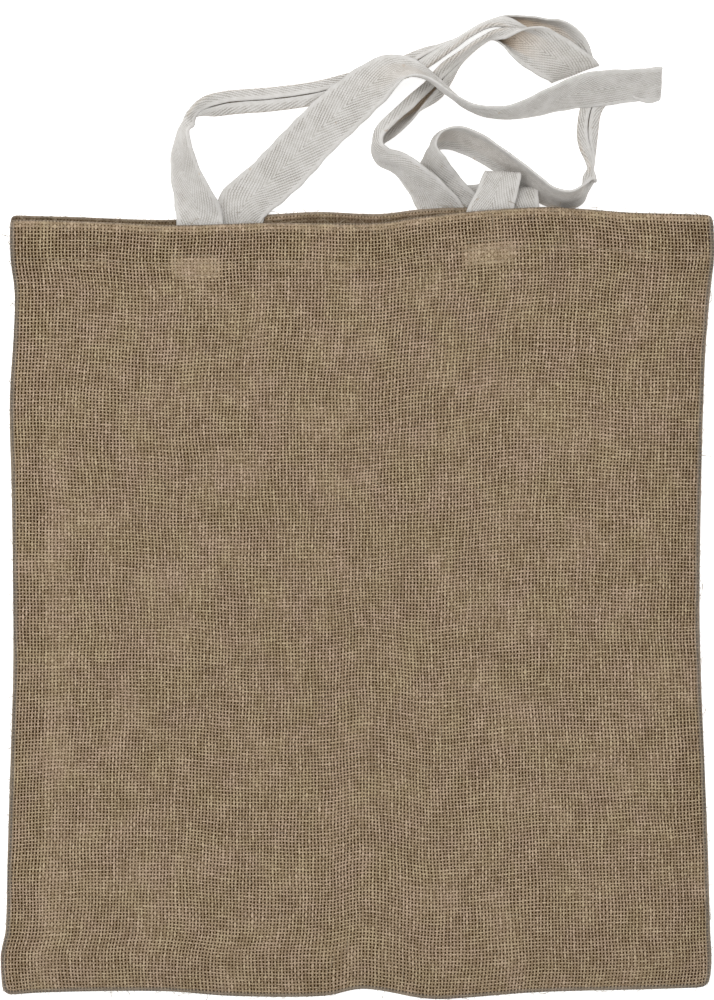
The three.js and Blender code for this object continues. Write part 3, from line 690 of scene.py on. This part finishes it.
# %% Formulas that turn into nodes
class Wire:
    """One value in a node tree, with ordinary arithmetic."""

    def __init__(self, tree, socket):
        self.tree, self.socket = tree, socket

    def math(self, operation, *others):
        node = self.tree.nodes.new("ShaderNodeMath")
        node.operation = operation
        self.tree.links.new(self.socket, node.inputs[0])
        for i, other in enumerate(others, 1):
            if isinstance(other, Wire):
                self.tree.links.new(other.socket, node.inputs[i])
            else:
                node.inputs[i].default_value = other
        return Wire(self.tree, node.outputs[0])

    def __add__(self, other):
        return self.math("ADD", other)

    def __sub__(self, other):
        return self.math("SUBTRACT", other)

    def __mul__(self, other):
        return self.math("MULTIPLY", other)

    def ramp(self, low, high):
        """0 at low, 1 at high, smooth between, and level outside; high may be the lesser."""
        node = self.tree.nodes.new("ShaderNodeMapRange")
        node.interpolation_type = "SMOOTHSTEP"
        self.tree.links.new(self.socket, node.inputs["Value"])
        for name, value in (("From Min", low), ("From Max", high)):
            if isinstance(value, Wire):
                self.tree.links.new(value.socket, node.inputs[name])
            else:
                node.inputs[name].default_value = value
        return Wire(self.tree, node.outputs[0])


print("a formula may use +, -, *, math and ramp")

# %% Nodes that formulas need
def join(tree, x, y, z=0.0):
    """One vector of three numbers or wires."""
    node = tree.nodes.new("ShaderNodeCombineXYZ")
    for socket, value in zip(node.inputs, (x, y, z)):
        if isinstance(value, Wire):
            tree.links.new(value.socket, socket)
        else:
            socket.default_value = value
    return node.outputs[0]


def noise(tree, vector, scale, detail=2.0):
    """Cloudy noise from 0 to 1 at the vector's place."""
    node = tree.nodes.new("ShaderNodeTexNoise")
    node.inputs["Scale"].default_value = scale
    node.inputs["Detail"].default_value = detail
    tree.links.new(vector, node.inputs["Vector"])
    return Wire(tree, node.outputs["Fac"])


def tint(tree, factor, low, high):
    """A colour between two, by a factor from 0 to 1."""
    node = tree.nodes.new("ShaderNodeMix")
    node.data_type = "RGBA"
    for socket, value in zip([s for s in node.inputs if s.type == "RGBA"], (low, high)):
        if isinstance(value, tuple):
            socket.default_value = (*value, 1)
        else:
            tree.links.new(value, socket)
    tree.links.new(factor.socket, node.inputs[0])
    return [s for s in node.outputs if s.type == "RGBA"][0]


# %% A matt cloth, and its relief
def cloth_material(name, roughness, sheen):
    """A matt material, its nodes, and the flat cloth's coordinates u and v in millimetres."""
    material = bpy.data.materials.new(name)
    material.use_nodes = True
    tree = material.node_tree
    shader = tree.nodes["Principled BSDF"]
    shader.inputs["Roughness"].default_value = roughness
    shader.inputs["Specular IOR Level"].default_value = 0.08
    shader.inputs["Sheen Weight"].default_value = sheen
    shader.inputs["Sheen Roughness"].default_value = 0.6
    place = tree.nodes.new("ShaderNodeUVMap")
    place.uv_map = "flat_cloth"
    split = tree.nodes.new("ShaderNodeSeparateXYZ")
    tree.links.new(place.outputs[0], split.inputs[0])
    u, v = (Wire(tree, split.outputs[i]) for i in (0, 1))
    return material, tree, shader, u * 1000, v * 1000


def relief(tree, shader, height, depth):
    """Lets the light see a height from 0 to 1 as so many millimetres of relief."""
    bump = tree.nodes.new("ShaderNodeBump")
    bump.inputs["Distance"].default_value = depth * MM
    tree.links.new(height.socket, bump.inputs["Height"])
    tree.links.new(bump.outputs[0], shader.inputs["Normal"])


def dress(piece, finish):
    """Gives a piece one material all over."""
    piece.data.materials.clear()
    piece.data.materials.append(finish)
    print(piece.name, "wears", finish.name, "of", len(finish.node_tree.nodes), "nodes")


# %% [markdown]
# ## Jute cloth
#
# Hessian is a plain weave: every yarn goes over one and under the next. The yarns are
# coarse and uneven, about 1.8 mm apart, and leave a small dark hole at each crossing. A
# checked pattern with noise would pass from afar, but up close each yarn has to keep its
# own thickness and tone along its whole length. So the formula finds, for each point,
# which upright and which cross yarn are nearest, how far it is from their middles, and
# which of the two is on top there.
#
# First comes how close the yarns lie. They are closer in the turned rim, in the row where
# the hem's edge is sewn down, in a strip beside the left seam, and over the two ends of the
# front handle, which press through from behind. Right at the side seams they lie more open.

# %% Where the yarns lie closer
RIM = 2 * HALF_HEIGHT
SEWN_ENDS = (-90, 68)


def closeness(tree, u, v, from_side):
    """What each half yarn gains in width, as a part of the pitch."""
    close = noise(tree, join(tree, u, v, 80.0), 0.045, 3).ramp(0.44, 0.7) * 0.045
    close = close + v.ramp(RIM - 5, RIM - 2) * 0.17 - v.ramp(RIM - 34, RIM - 26) * 0.035
    hem_row = (v - (RIM - 23)).math("ABSOLUTE").ramp(2.6, 1.2)
    in_parts = noise(tree, join(tree, u * 0.3, 0.0, 150.0), 0.12, 2).ramp(0.4, 0.6)
    close = close + hem_row * in_parts * 0.07 - from_side.ramp(19, 14) * 0.022
    inner_strip = (from_side - 25).math("ABSOLUTE").ramp(8, 5) * v.ramp(330, 300)
    close = close + inner_strip * u.ramp(0, -10) * 0.035
    for middle in SEWN_ENDS:
        beside = (u - middle).math("ABSOLUTE").ramp(15, 12)
        below = (v - (RIM - 23)).math("ABSOLUTE").ramp(7, 4.5)
        close = close + beside * below * 0.14
    return close


print("front handle's ends press through at", SEWN_ENDS, "mm")

# %% [markdown]
# Then comes the weave itself. Its yarns stray slowly from their even places, and lean over
# near the rim, where the hem pulls on them. Cosines bow each yarn up where it goes over and
# down where it goes under, and the higher of the two yarns wins.

# %% Plain weave
WARP_PITCH, WEFT_PITCH = 1.8, 1.91
YARN_EDGE = 0.055


def wander(tree, place, broad, fine):
    """How far a yarn strays from its even place, in yarns."""
    return (noise(tree, place, 0.028, 1) - 0.5) * broad + (noise(tree, place, 0.35, 1) - 0.5) * fine


def plain_weave(tree, u, v, close):
    """Height of the cloth's face, 0 in a hole, and the shade of the yarn on top."""
    lean = v.ramp(RIM - 45, RIM) * (u * (1 / 61.0)).math("SINE") * 1.4
    a = u * (1 / WARP_PITCH) + lean + wander(tree, join(tree, u, v), 1.7, 0.35)
    b = v * (1 / WEFT_PITCH) + wander(tree, join(tree, u, v, 40.0), 1.7, 0.35)
    warp, weft = a.math("FLOOR"), b.math("FLOOR")
    from_warp = (a.math("FRACT") - 0.5).math("ABSOLUTE")
    from_weft = (b.math("FRACT") - 0.5).math("ABSOLUTE")
    warp_half = noise(tree, join(tree, warp * 7.3, b * 0.2), 1, 3) * 0.27 + close + 0.15
    weft_half = noise(tree, join(tree, a * 0.2, weft * 5.7, 9.0), 1, 3) * 0.25 + close + 0.091
    on_warp = from_warp.ramp(warp_half + YARN_EDGE, warp_half - YARN_EDGE)
    on_weft = from_weft.ramp(weft_half + YARN_EDGE, weft_half - YARN_EDGE)

    over = (warp + weft).math("MODULO", 2.0).math("ABSOLUTE") * 2 - 1
    warp_bow = (from_weft * math.pi).math("COSINE") * over * 0.3 + 0.7
    weft_bow = (from_warp * math.pi).math("COSINE") * over * -0.3 + 0.62
    warp_height = (warp_bow - from_warp * from_warp * 2.4) * on_warp
    weft_height = (weft_bow - from_weft * from_weft * 2.4) * on_weft
    warp_on_top = (warp_height - weft_height).ramp(-0.05, 0.05)

    warp_shade = noise(tree, join(tree, warp * 3.1, b * 0.16, 3.0), 1, 3)
    weft_shade = noise(tree, join(tree, a * 0.16, weft * 2.9, 5.0), 1, 3)
    shade = weft_shade + (warp_shade - weft_shade) * warp_on_top
    fibres = noise(tree, join(tree, u * 1.3, v, 60.0), 1.5, 3)
    return warp_height.math("MAXIMUM", weft_height), shade * 0.45 + fibres * 0.55


print(round(2 * HALF_WIDTH / WARP_PITCH), "by", round(RIM / WEFT_PITCH), "yarns in a panel")

# %% [markdown]
# Jute is never one brown. Each yarn has its own tone and the hue drifts over the cloth. The
# holes and a yarn's sides are painted dark, as shade, so that its crown stands lighter. Where
# the cloth turns, at the seams and the rim, it is rubbed and greyer. One panel shows its
# inside at the mouth, and no light gets down there; the lamps alone leave it too bright, so
# its colour is darkened too, as painted shade.

# %% Colours of the jute
def jute_colour(tree, u, v, height, shade):
    """From the dark holes over the brown sides of the yarns to their crowns; the dark holes and sides
    are painted shade.
    """
    hue = noise(tree, join(tree, u, v, 120.0), 0.05, 4).ramp(0.3, 0.7)
    pale = tint(tree, hue, (0.473, 0.381, 0.246), (0.493, 0.373, 0.275))
    deep = tint(tree, hue, (0.24, 0.175, 0.105), (0.245, 0.176, 0.114))
    # Painted shade: within 70 mm of the bottom the crowns turn deeper.
    crown = tint(tree, shade.ramp(0.41, 0.62) - v.ramp(70, 0) * 0.08, deep, pale)
    # Painted shade: the holes near black and the yarns' sides dark brown, leaving the crowns lighter.
    painted_hole_shade = tint(tree, height.ramp(0.05, 0.45), (0.02, 0.007, 0.001), (0.145, 0.09, 0.036))
    return tint(tree, height.ramp(0.27, 0.64), painted_hole_shade, crown)


def rubbed(tree, v, from_side, colour):
    """Greyer where the cloth turns, at the sides, the bottom and the rim."""
    lip = from_side.ramp(3, 1.2).math("MAXIMUM", v.ramp(2.6, 0.9))
    lip = lip.math("MAXIMUM", (v - RIM - 0.6).math("ABSOLUTE").ramp(1.4, 0.6) * 0.8)
    return tint(tree, lip * 0.55, colour, (0.17, 0.155, 0.135))


def unlit_mouth(tree, u, v, colour):
    """Darker past the rim, on the inside that the open mouth shows."""
    reach = noise(tree, join(tree, u, v, 200.0), 0.05, 2) * 2 - 1
    low_rim = u.ramp(-62, -84) * 1.6
    depth = (v + reach + low_rim).ramp(RIM + 1.8, RIM + 3.6)
    return tint(tree, depth * 0.62, colour, (0.05, 0.028, 0.012))


def jute(name, shows_inside):
    """The whole material of one panel."""
    material, tree, shader, u, v = cloth_material(name, 0.95, 0.0)
    from_side = (u.math("ABSOLUTE") - HALF_WIDTH) * -1
    height, shade = plain_weave(tree, u, v, closeness(tree, u, v, from_side))
    colour = rubbed(tree, v, from_side, jute_colour(tree, u, v, height, shade))
    if shows_inside:
        colour = unlit_mouth(tree, u, v, colour)
    tree.links.new(colour, shader.inputs["Base Color"])
    relief(tree, shader, height, 0.3)
    return material


dress(front_panel, jute("jute_weave", False))
dress(back_panel, jute("jute_inside", True))

# %% [markdown]
# ## Cotton tape
#
# The tape is a herringbone twill: fine ribs that run at a slant along the tape and lean
# the other way past the middle, with a plain selvedge at each side. A sine of a slanted
# coordinate makes the ribs, and taking the distance from the middle for that coordinate
# turns them into a herringbone. The cross threads show as small dashes between ribs; the
# grooves and dashes are painted dark, as shade.
# The ribs could be real ridges, but at 1.3 mm apart they would cost millions of faces.

# %% Herringbone of the tape
RIB_PITCH, RIB_SLANT, CROSS_PITCH = 1.3, math.radians(21), 1.35


def herringbone(tree, u, v):
    """Depth of the grooves between the ribs, from 0 to 1."""
    wobble = (noise(tree, join(tree, u, v), 0.3, 2) - 0.5) * 0.5
    side = v.math("ABSOLUTE")
    across = (side * math.cos(RIB_SLANT) - u * math.sin(RIB_SLANT)) * (1 / RIB_PITCH) + wobble
    valley = (across * (2 * math.pi)).math("COSINE") * 0.5 + 0.5
    thread = u * (1 / CROSS_PITCH) + across.math("FLOOR") * 0.5 + wobble
    dash = (thread * (2 * math.pi)).math("SINE") * 0.5 + 0.5
    groove = valley.math("POWER", 1.3) * (dash * 0.8 + 0.2)
    wear = noise(tree, join(tree, u, v, 30.0), 0.14, 3).ramp(0.3, 0.7) * 0.55 + 0.45
    selvedge = side.ramp(9.9, 10.7)
    return groove * wear * (selvedge * -0.8 + 1)


print("ribs run at", round(math.degrees(RIB_SLANT)), "degrees")

# %% [markdown]
# The cotton itself is an off-white with faint stains and a few brown specks of seed. Inside
# a fold the light has bounced from cotton to cotton and comes out warm. More light bounces
# would do the same very slowly, so what each point stored about its fold is used instead.

# %% Colours of the tape
def cotton_colour(tree, u, v, groove):
    """Off-white cotton with stains and specks, and painted shade in the grooves."""
    stain = noise(tree, join(tree, u, v, 70.0), 0.35, 4).ramp(0.3, 0.7)
    cotton = tint(tree, stain, (0.568, 0.552, 0.525), (0.625, 0.61, 0.588))
    speck = noise(tree, join(tree, u, v, 11.0), 0.22, 1).ramp(0.76, 0.8)
    cotton = tint(tree, speck * 0.5, cotton, (0.46, 0.36, 0.27))
    # Painted shade: the grooves between the ribs are darkened.
    return tint(tree, groove * 0.95, cotton, (0.215, 0.18, 0.14))


def warm_folds(tree, colour):
    """Warmer and darker where a fold is closed over the tape."""
    shaded = tree.nodes.new("ShaderNodeAttribute")
    shaded.attribute_name = "shaded"
    warm = tree.nodes.new("ShaderNodeMix")
    warm.data_type, warm.blend_type = "RGBA", "MULTIPLY"
    factor, first, second = warm.inputs[0], warm.inputs[6], warm.inputs[7]
    tree.links.new((Wire(tree, shaded.outputs["Fac"]) * 0.9).socket, factor)
    tree.links.new(colour, first)
    second.default_value = (0.93, 0.72, 0.52, 1)
    return warm.outputs[2]


def herringbone_tape():
    """The whole material of the handles."""
    material, tree, shader, u, v = cloth_material("herringbone_tape", 0.85, 0.15)
    groove = herringbone(tree, u, v)
    colour = warm_folds(tree, cotton_colour(tree, u, v, groove))
    tree.links.new(colour, shader.inputs["Base Color"])
    relief(tree, shader, groove * -1 + 1, 0.3)
    return material


handle_finish = herringbone_tape()
dress(front_handle, handle_finish)
dress(back_handle, handle_finish)

# %% [markdown]
# ## Stitches
#
# A sewn line shows as a row of short thread lumps that dip into the cloth. They could be
# placed one by one in a loop, but a node tree does it better: one lump is made once and set
# down at even steps along a line, and its step and size stay two numbers to change. The
# lines are read off the cloth itself, so the row follows every wave: the hem's line, about
# 20 mm below the rim, and a box where each end of a tape is sewn on.
#
# First come two helpers. One adds a node and fills its inputs. The other runs a finished
# tree on an object and keeps the result as a plain mesh.

# %% Running a node tree
def node_piece(name, source, finish, sizes, build):
    """Runs a node tree on the source object and returns the result as a plain mesh piece."""
    tree = bpy.data.node_groups.new(name, "GeometryNodeTree")
    tree.interface.new_socket("Geometry", in_out="INPUT", socket_type="NodeSocketGeometry")
    for label in sizes:
        tree.interface.new_socket(label, in_out="INPUT", socket_type="NodeSocketFloat")
    tree.interface.new_socket("Geometry", in_out="OUTPUT", socket_type="NodeSocketGeometry")
    start, end = tree.nodes.new("NodeGroupInput"), tree.nodes.new("NodeGroupOutput")
    scattered = build(tree, start.outputs)
    realize = tree.nodes.new("GeometryNodeRealizeInstances")
    paint = tree.nodes.new("GeometryNodeSetMaterial")
    paint.inputs["Material"].default_value = finish
    tree.links.new(scattered, realize.inputs[0])
    tree.links.new(realize.outputs[0], paint.inputs["Geometry"])
    tree.links.new(paint.outputs[0], end.inputs[0])
    modifier = source.modifiers.new(name, "NODES")
    modifier.node_group = tree
    for item in tree.interface.items_tree:
        if item.name in sizes:
            modifier[item.identifier] = float(sizes[item.name])
    ready = source.evaluated_get(bpy.context.evaluated_depsgraph_get())
    mesh = bpy.data.meshes.new_from_object(ready)
    source.modifiers.remove(modifier)
    piece = bpy.data.objects.new(name, mesh)
    bpy.context.scene.collection.objects.link(piece)
    mesh.materials.clear()
    mesh.materials.append(finish)
    print(name, "has", len(mesh.polygons), "faces")
    return piece


def add(tree, kind, settings=(), **inputs):
    """Adds a node, makes its settings, and fills its inputs by name with values or links."""
    node = tree.nodes.new(kind)
    for name, value in settings:
        setattr(node, name, value)
    for name, value in inputs.items():
        socket = node.inputs[name.replace("_", " ")]
        if isinstance(value, bpy.types.NodeSocket):
            tree.links.new(value, socket)
        else:
            socket.default_value = value
    return node


# %% Sewn lines on the cloth
HEM_LINE = 20.5
BACK_ENDS = (-67, 85)


def on_cloth(mouth, height, lift, flat_x, below):
    """Points on the panel's face, given across it and below its rim, in metres."""
    x, y = laid_out(mouth, flat_x, HALF_HEIGHT - below)
    z = height(x, y, np.minimum(HALF_WIDTH - np.abs(flat_x), 200.0), below)
    return np.stack([x, y, z + lift], 1) * MM


def sewn_box(middle, top=16.0, bottom=27.0, half=11.0):
    """Outline of the stitches that hold one end of a tape."""
    x = np.array([-half, half, half, -half, -half]) + middle
    below = np.array([top, top, bottom, bottom, top])
    parts = np.linspace(0, 4, 61)
    return np.interp(parts, range(5), x), np.interp(parts, range(5), below)


def sewn_lines(name, mouth, height, lift, ends):
    """The hem's line and the boxes of one panel, as edges without faces."""
    lines = [(np.linspace(-183, 183, 170), np.full(170, HEM_LINE))]
    lines += [sewn_box(middle) for middle in ends]
    points, edges = [], []
    for x, below in lines:
        first = len(points)
        points += on_cloth(mouth, height, lift, x, below).tolist()
        edges += [(i, i + 1) for i in range(first, len(points) - 1)]
    mesh = bpy.data.meshes.new(name)
    mesh.from_pydata(points, edges, [])
    sewn = bpy.data.objects.new(name, mesh)
    bpy.context.scene.collection.objects.link(sewn)
    return sewn


front_lines = sewn_lines("front_sewn_lines", FRONT_MOUTH, front_height, CLOTH / 2 - 0.06, SEWN_ENDS)
back_lines = sewn_lines("back_sewn_lines", BACK_MOUTH, back_height, -CLOTH / 2 + 0.2, BACK_ENDS)
print("sewn lines of", len(front_lines.data.edges), "edges on each panel")

# %% Stitches along the lines
def stitch_tree(tree, size):
    """Sets a lump of thread at each step along the lines, turned the way they run."""
    line = add(tree, "GeometryNodeMeshToCurve", Mesh=size["Geometry"])
    row = add(
        tree, "GeometryNodeResampleCurve", [("mode", "LENGTH")],
        Curve=line.outputs[0], Length=size["Step"],
    )
    ahead = add(tree, "GeometryNodeInputTangent")
    lump = add(tree, "GeometryNodeMeshUVSphere", Segments=6, Rings=5, Radius=size["Radius"])
    long = add(tree, "GeometryNodeTransform", Geometry=lump.outputs[0], Scale=(5.2, 1.15, 0.9))
    turn = add(
        tree, "FunctionNodeAlignRotationToVector", [("axis", "X")], Vector=ahead.outputs[0],
    )
    seats = add(
        tree, "GeometryNodeInstanceOnPoints",
        Points=row.outputs[0], Instance=long.outputs[0], Rotation=turn.outputs[0],
    )
    return seats.outputs[0]


thread = plain_material("sewing_thread", (0.30, 0.235, 0.155), 0.9)
STITCH = {"Step": 0.0037, "Radius": 0.0003}
front_stitches = node_piece("front_stitches", front_lines, thread, STITCH, stitch_tree)
back_stitches = node_piece("back_stitches", back_lines, thread, STITCH, stitch_tree)
for lines in (front_lines, back_lines):
    bpy.data.objects.remove(lines)

# %% [markdown]
# ## Loose fibres
#
# Jute sheds stiff hairs, most of them at the rim, the sides and the bottom, and cotton
# tape is fuzzy along its selvedges. Blender has hair curves for this, but they would not
# stay with the bag as plain faces. So a node tree strews points over the cloth, more of
# them near its edges, and sets a thin bent hair on each, turned and sized by chance. The
# seeds are fixed, so the same hairs grow each time.

# %% One hair and its places
def bent_hair(tree, size):
    """A thin tube of three sides along a bent line that starts in the cloth."""
    line = add(
        tree, "GeometryNodeCurveQuadraticBezier",
        Resolution=5, Start=(0, 0, -0.0001), Middle=(0.0022, 0.0005, 0.0016), End=(0.005, 0, 0.0007),
    )
    profile = add(tree, "GeometryNodeCurvePrimitiveCircle", Resolution=3, Radius=size["Thickness"])
    strand = add(
        tree, "GeometryNodeCurveToMesh",
        Curve=line.outputs[0], Profile_Curve=profile.outputs[0], Fill_Caps=True,
    )
    return strand.outputs[0]


def strewn_points(tree, size, edge_of):
    """Points on the faces that don't look down at the table, closer together at the edge."""
    place = add(
        tree, "GeometryNodeInputNamedAttribute", [("data_type", "FLOAT_VECTOR")], Name="flat_cloth",
    )
    split = add(tree, "ShaderNodeSeparateXYZ", Vector=place.outputs[0])
    u, v = (Wire(tree, split.outputs[i]) * 1000 for i in (0, 1))
    normal = add(tree, "GeometryNodeInputNormal")
    facing = add(tree, "ShaderNodeSeparateXYZ", Vector=normal.outputs[0])
    upward = Wire(tree, facing.outputs[2]).ramp(-0.7, -0.3)
    more = edge_of(u, v) * Wire(tree, size["Edge density"]) + Wire(tree, size["Density"])
    return add(
        tree, "GeometryNodeDistributePointsOnFaces",
        Mesh=size["Geometry"], Density=(more * upward).socket, Seed=7,
    )


# %% Strewing hairs
HAIR_POINTS = 18  # six steps along a hair, three corners each


def hair_tree(edge_of):
    """Tree for hairs on a cloth; edge_of says, from the cloth's coordinates, what is edge."""
    def build(tree, size):
        points = strewn_points(tree, size, edge_of)
        spin = add(
            tree, "FunctionNodeRandomValue", [("data_type", "FLOAT")], Min=0.0, Max=2 * math.pi, Seed=3,
        )
        about = add(tree, "ShaderNodeCombineXYZ", Z=spin.outputs["Value"])
        twist = add(tree, "FunctionNodeEulerToRotation", Euler=about.outputs[0])
        turned = add(
            tree, "FunctionNodeRotateRotation", [("rotation_space", "LOCAL")],
            Rotation=points.outputs["Rotation"], Rotate_By=twist.outputs[0],
        )
        grow = add(
            tree, "FunctionNodeRandomValue", [("data_type", "FLOAT")],
            Min=size["Shortest"], Max=size["Longest"], Seed=5,
        )
        seats = add(
            tree, "GeometryNodeInstanceOnPoints", Points=points.outputs[0],
            Instance=bent_hair(tree, size), Rotation=turned.outputs[0], Scale=grow.outputs["Value"],
        )
        return seats.outputs[0]
    return build


def kept_above_table(hairs):
    """Turns a hair that would run into the table half round, so that it points up."""
    count = len(hairs.data.vertices)
    points = np.empty(count * 3, np.float32)
    hairs.data.vertices.foreach_get("co", points)
    points = points.reshape(-1, HAIR_POINTS, 3)
    root = points[:, :3].mean(1, keepdims=True)
    low = (points[..., 2].min(1) < 0.0001)[:, None, None]
    at_side = np.abs(root[..., :1]) > (HALF_WIDTH - 3) * MM
    turn = np.where(at_side, (1, -1, -1), (-1, 1, -1))
    points = np.where(low, root + (points - root) * turn, points)
    points[..., 2] += np.maximum(0, 0.0001 - points[..., 2].min(1))[:, None]
    hairs.data.vertices.foreach_set("co", points.astype(np.float32).ravel())
    print(hairs.name, "holds", len(points), "hairs,", int(low.sum()), "turned up")


# %% Hairs of the jute
def cloth_edge(u, v):
    """1 at the sides, the bottom and the rim of a panel, and 0 elsewhere."""
    painted_hole_shade = u.math("ABSOLUTE").ramp(HALF_WIDTH - 1.6, HALF_WIDTH - 0.8)
    rim = (v - RIM).math("ABSOLUTE").ramp(2.4, 1.2)
    return painted_hole_shade.math("MAXIMUM", rim).math("MAXIMUM", v.ramp(1.8, 0.8))


jute_hair = plain_material("jute_hair", (0.30, 0.24, 0.165), 0.8)
SHED = {
    "Density": 900, "Edge density": 130000,
    "Thickness": 0.00009, "Shortest": 0.3, "Longest": 1.5,
}
front_hairs = node_piece("front_hairs", front_panel, jute_hair, SHED, hair_tree(cloth_edge))
back_hairs = node_piece("back_hairs", back_panel, jute_hair, SHED, hair_tree(cloth_edge))
kept_above_table(front_hairs)
kept_above_table(back_hairs)

# %% Fuzz of the cotton
def tape_edge(u, v):
    """1 at the two selvedges of a tape, and 0 elsewhere."""
    return v.math("ABSOLUTE").ramp(TAPE_WIDTH / 2 - 0.9, TAPE_WIDTH / 2 - 0.3)


cotton_hair = plain_material("cotton_hair", (0.6, 0.575, 0.54), 0.9)
FUZZ = {
    "Density": 5000, "Edge density": 30000,
    "Thickness": 0.00006, "Shortest": 0.15, "Longest": 0.5,
}
front_fuzz = node_piece("front_tape_fuzz", front_handle, cotton_hair, FUZZ, hair_tree(tape_edge))
back_fuzz = node_piece("back_tape_fuzz", back_handle, cotton_hair, FUZZ, hair_tree(tape_edge))
kept_above_table(front_fuzz)
kept_above_table(back_fuzz)

# %% [markdown]
# ## Putting the pieces in place of the frame's solids
#
# The four cut pieces stand in for the plain solids of the frame. Each piece rides on the
# bag's only body, takes the place of its solid, and has the size it was cut to printed. Its
# stitches and hairs go with it. One loop says all this, so that no piece is forgotten. A
# panel is cut 26 mm longer than it shows, for the hem.

# %% Ride and replace
PANEL_CUT = (0.38, 0.45)
for piece, node, slot, cut, small in (
    (front_panel, "front_panel", "jute_cloth", PANEL_CUT, [front_stitches, front_hairs]),
    (back_panel, "back_panel", "jute_cloth", PANEL_CUT, [back_stitches, back_hairs]),
    (front_handle, "front_handle", "cotton_tape", (TAPE_WIDTH * MM, front_length), [front_fuzz]),
    (back_handle, "back_handle", "cotton_tape", (TAPE_WIDTH * MM, back_length), [back_fuzz]),
):
    for part in [piece, *small]:
        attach(part, "root")
    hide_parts(node)
    print(piece.name, "is cut to", [round(side * 1000) for side in cut], "mm")
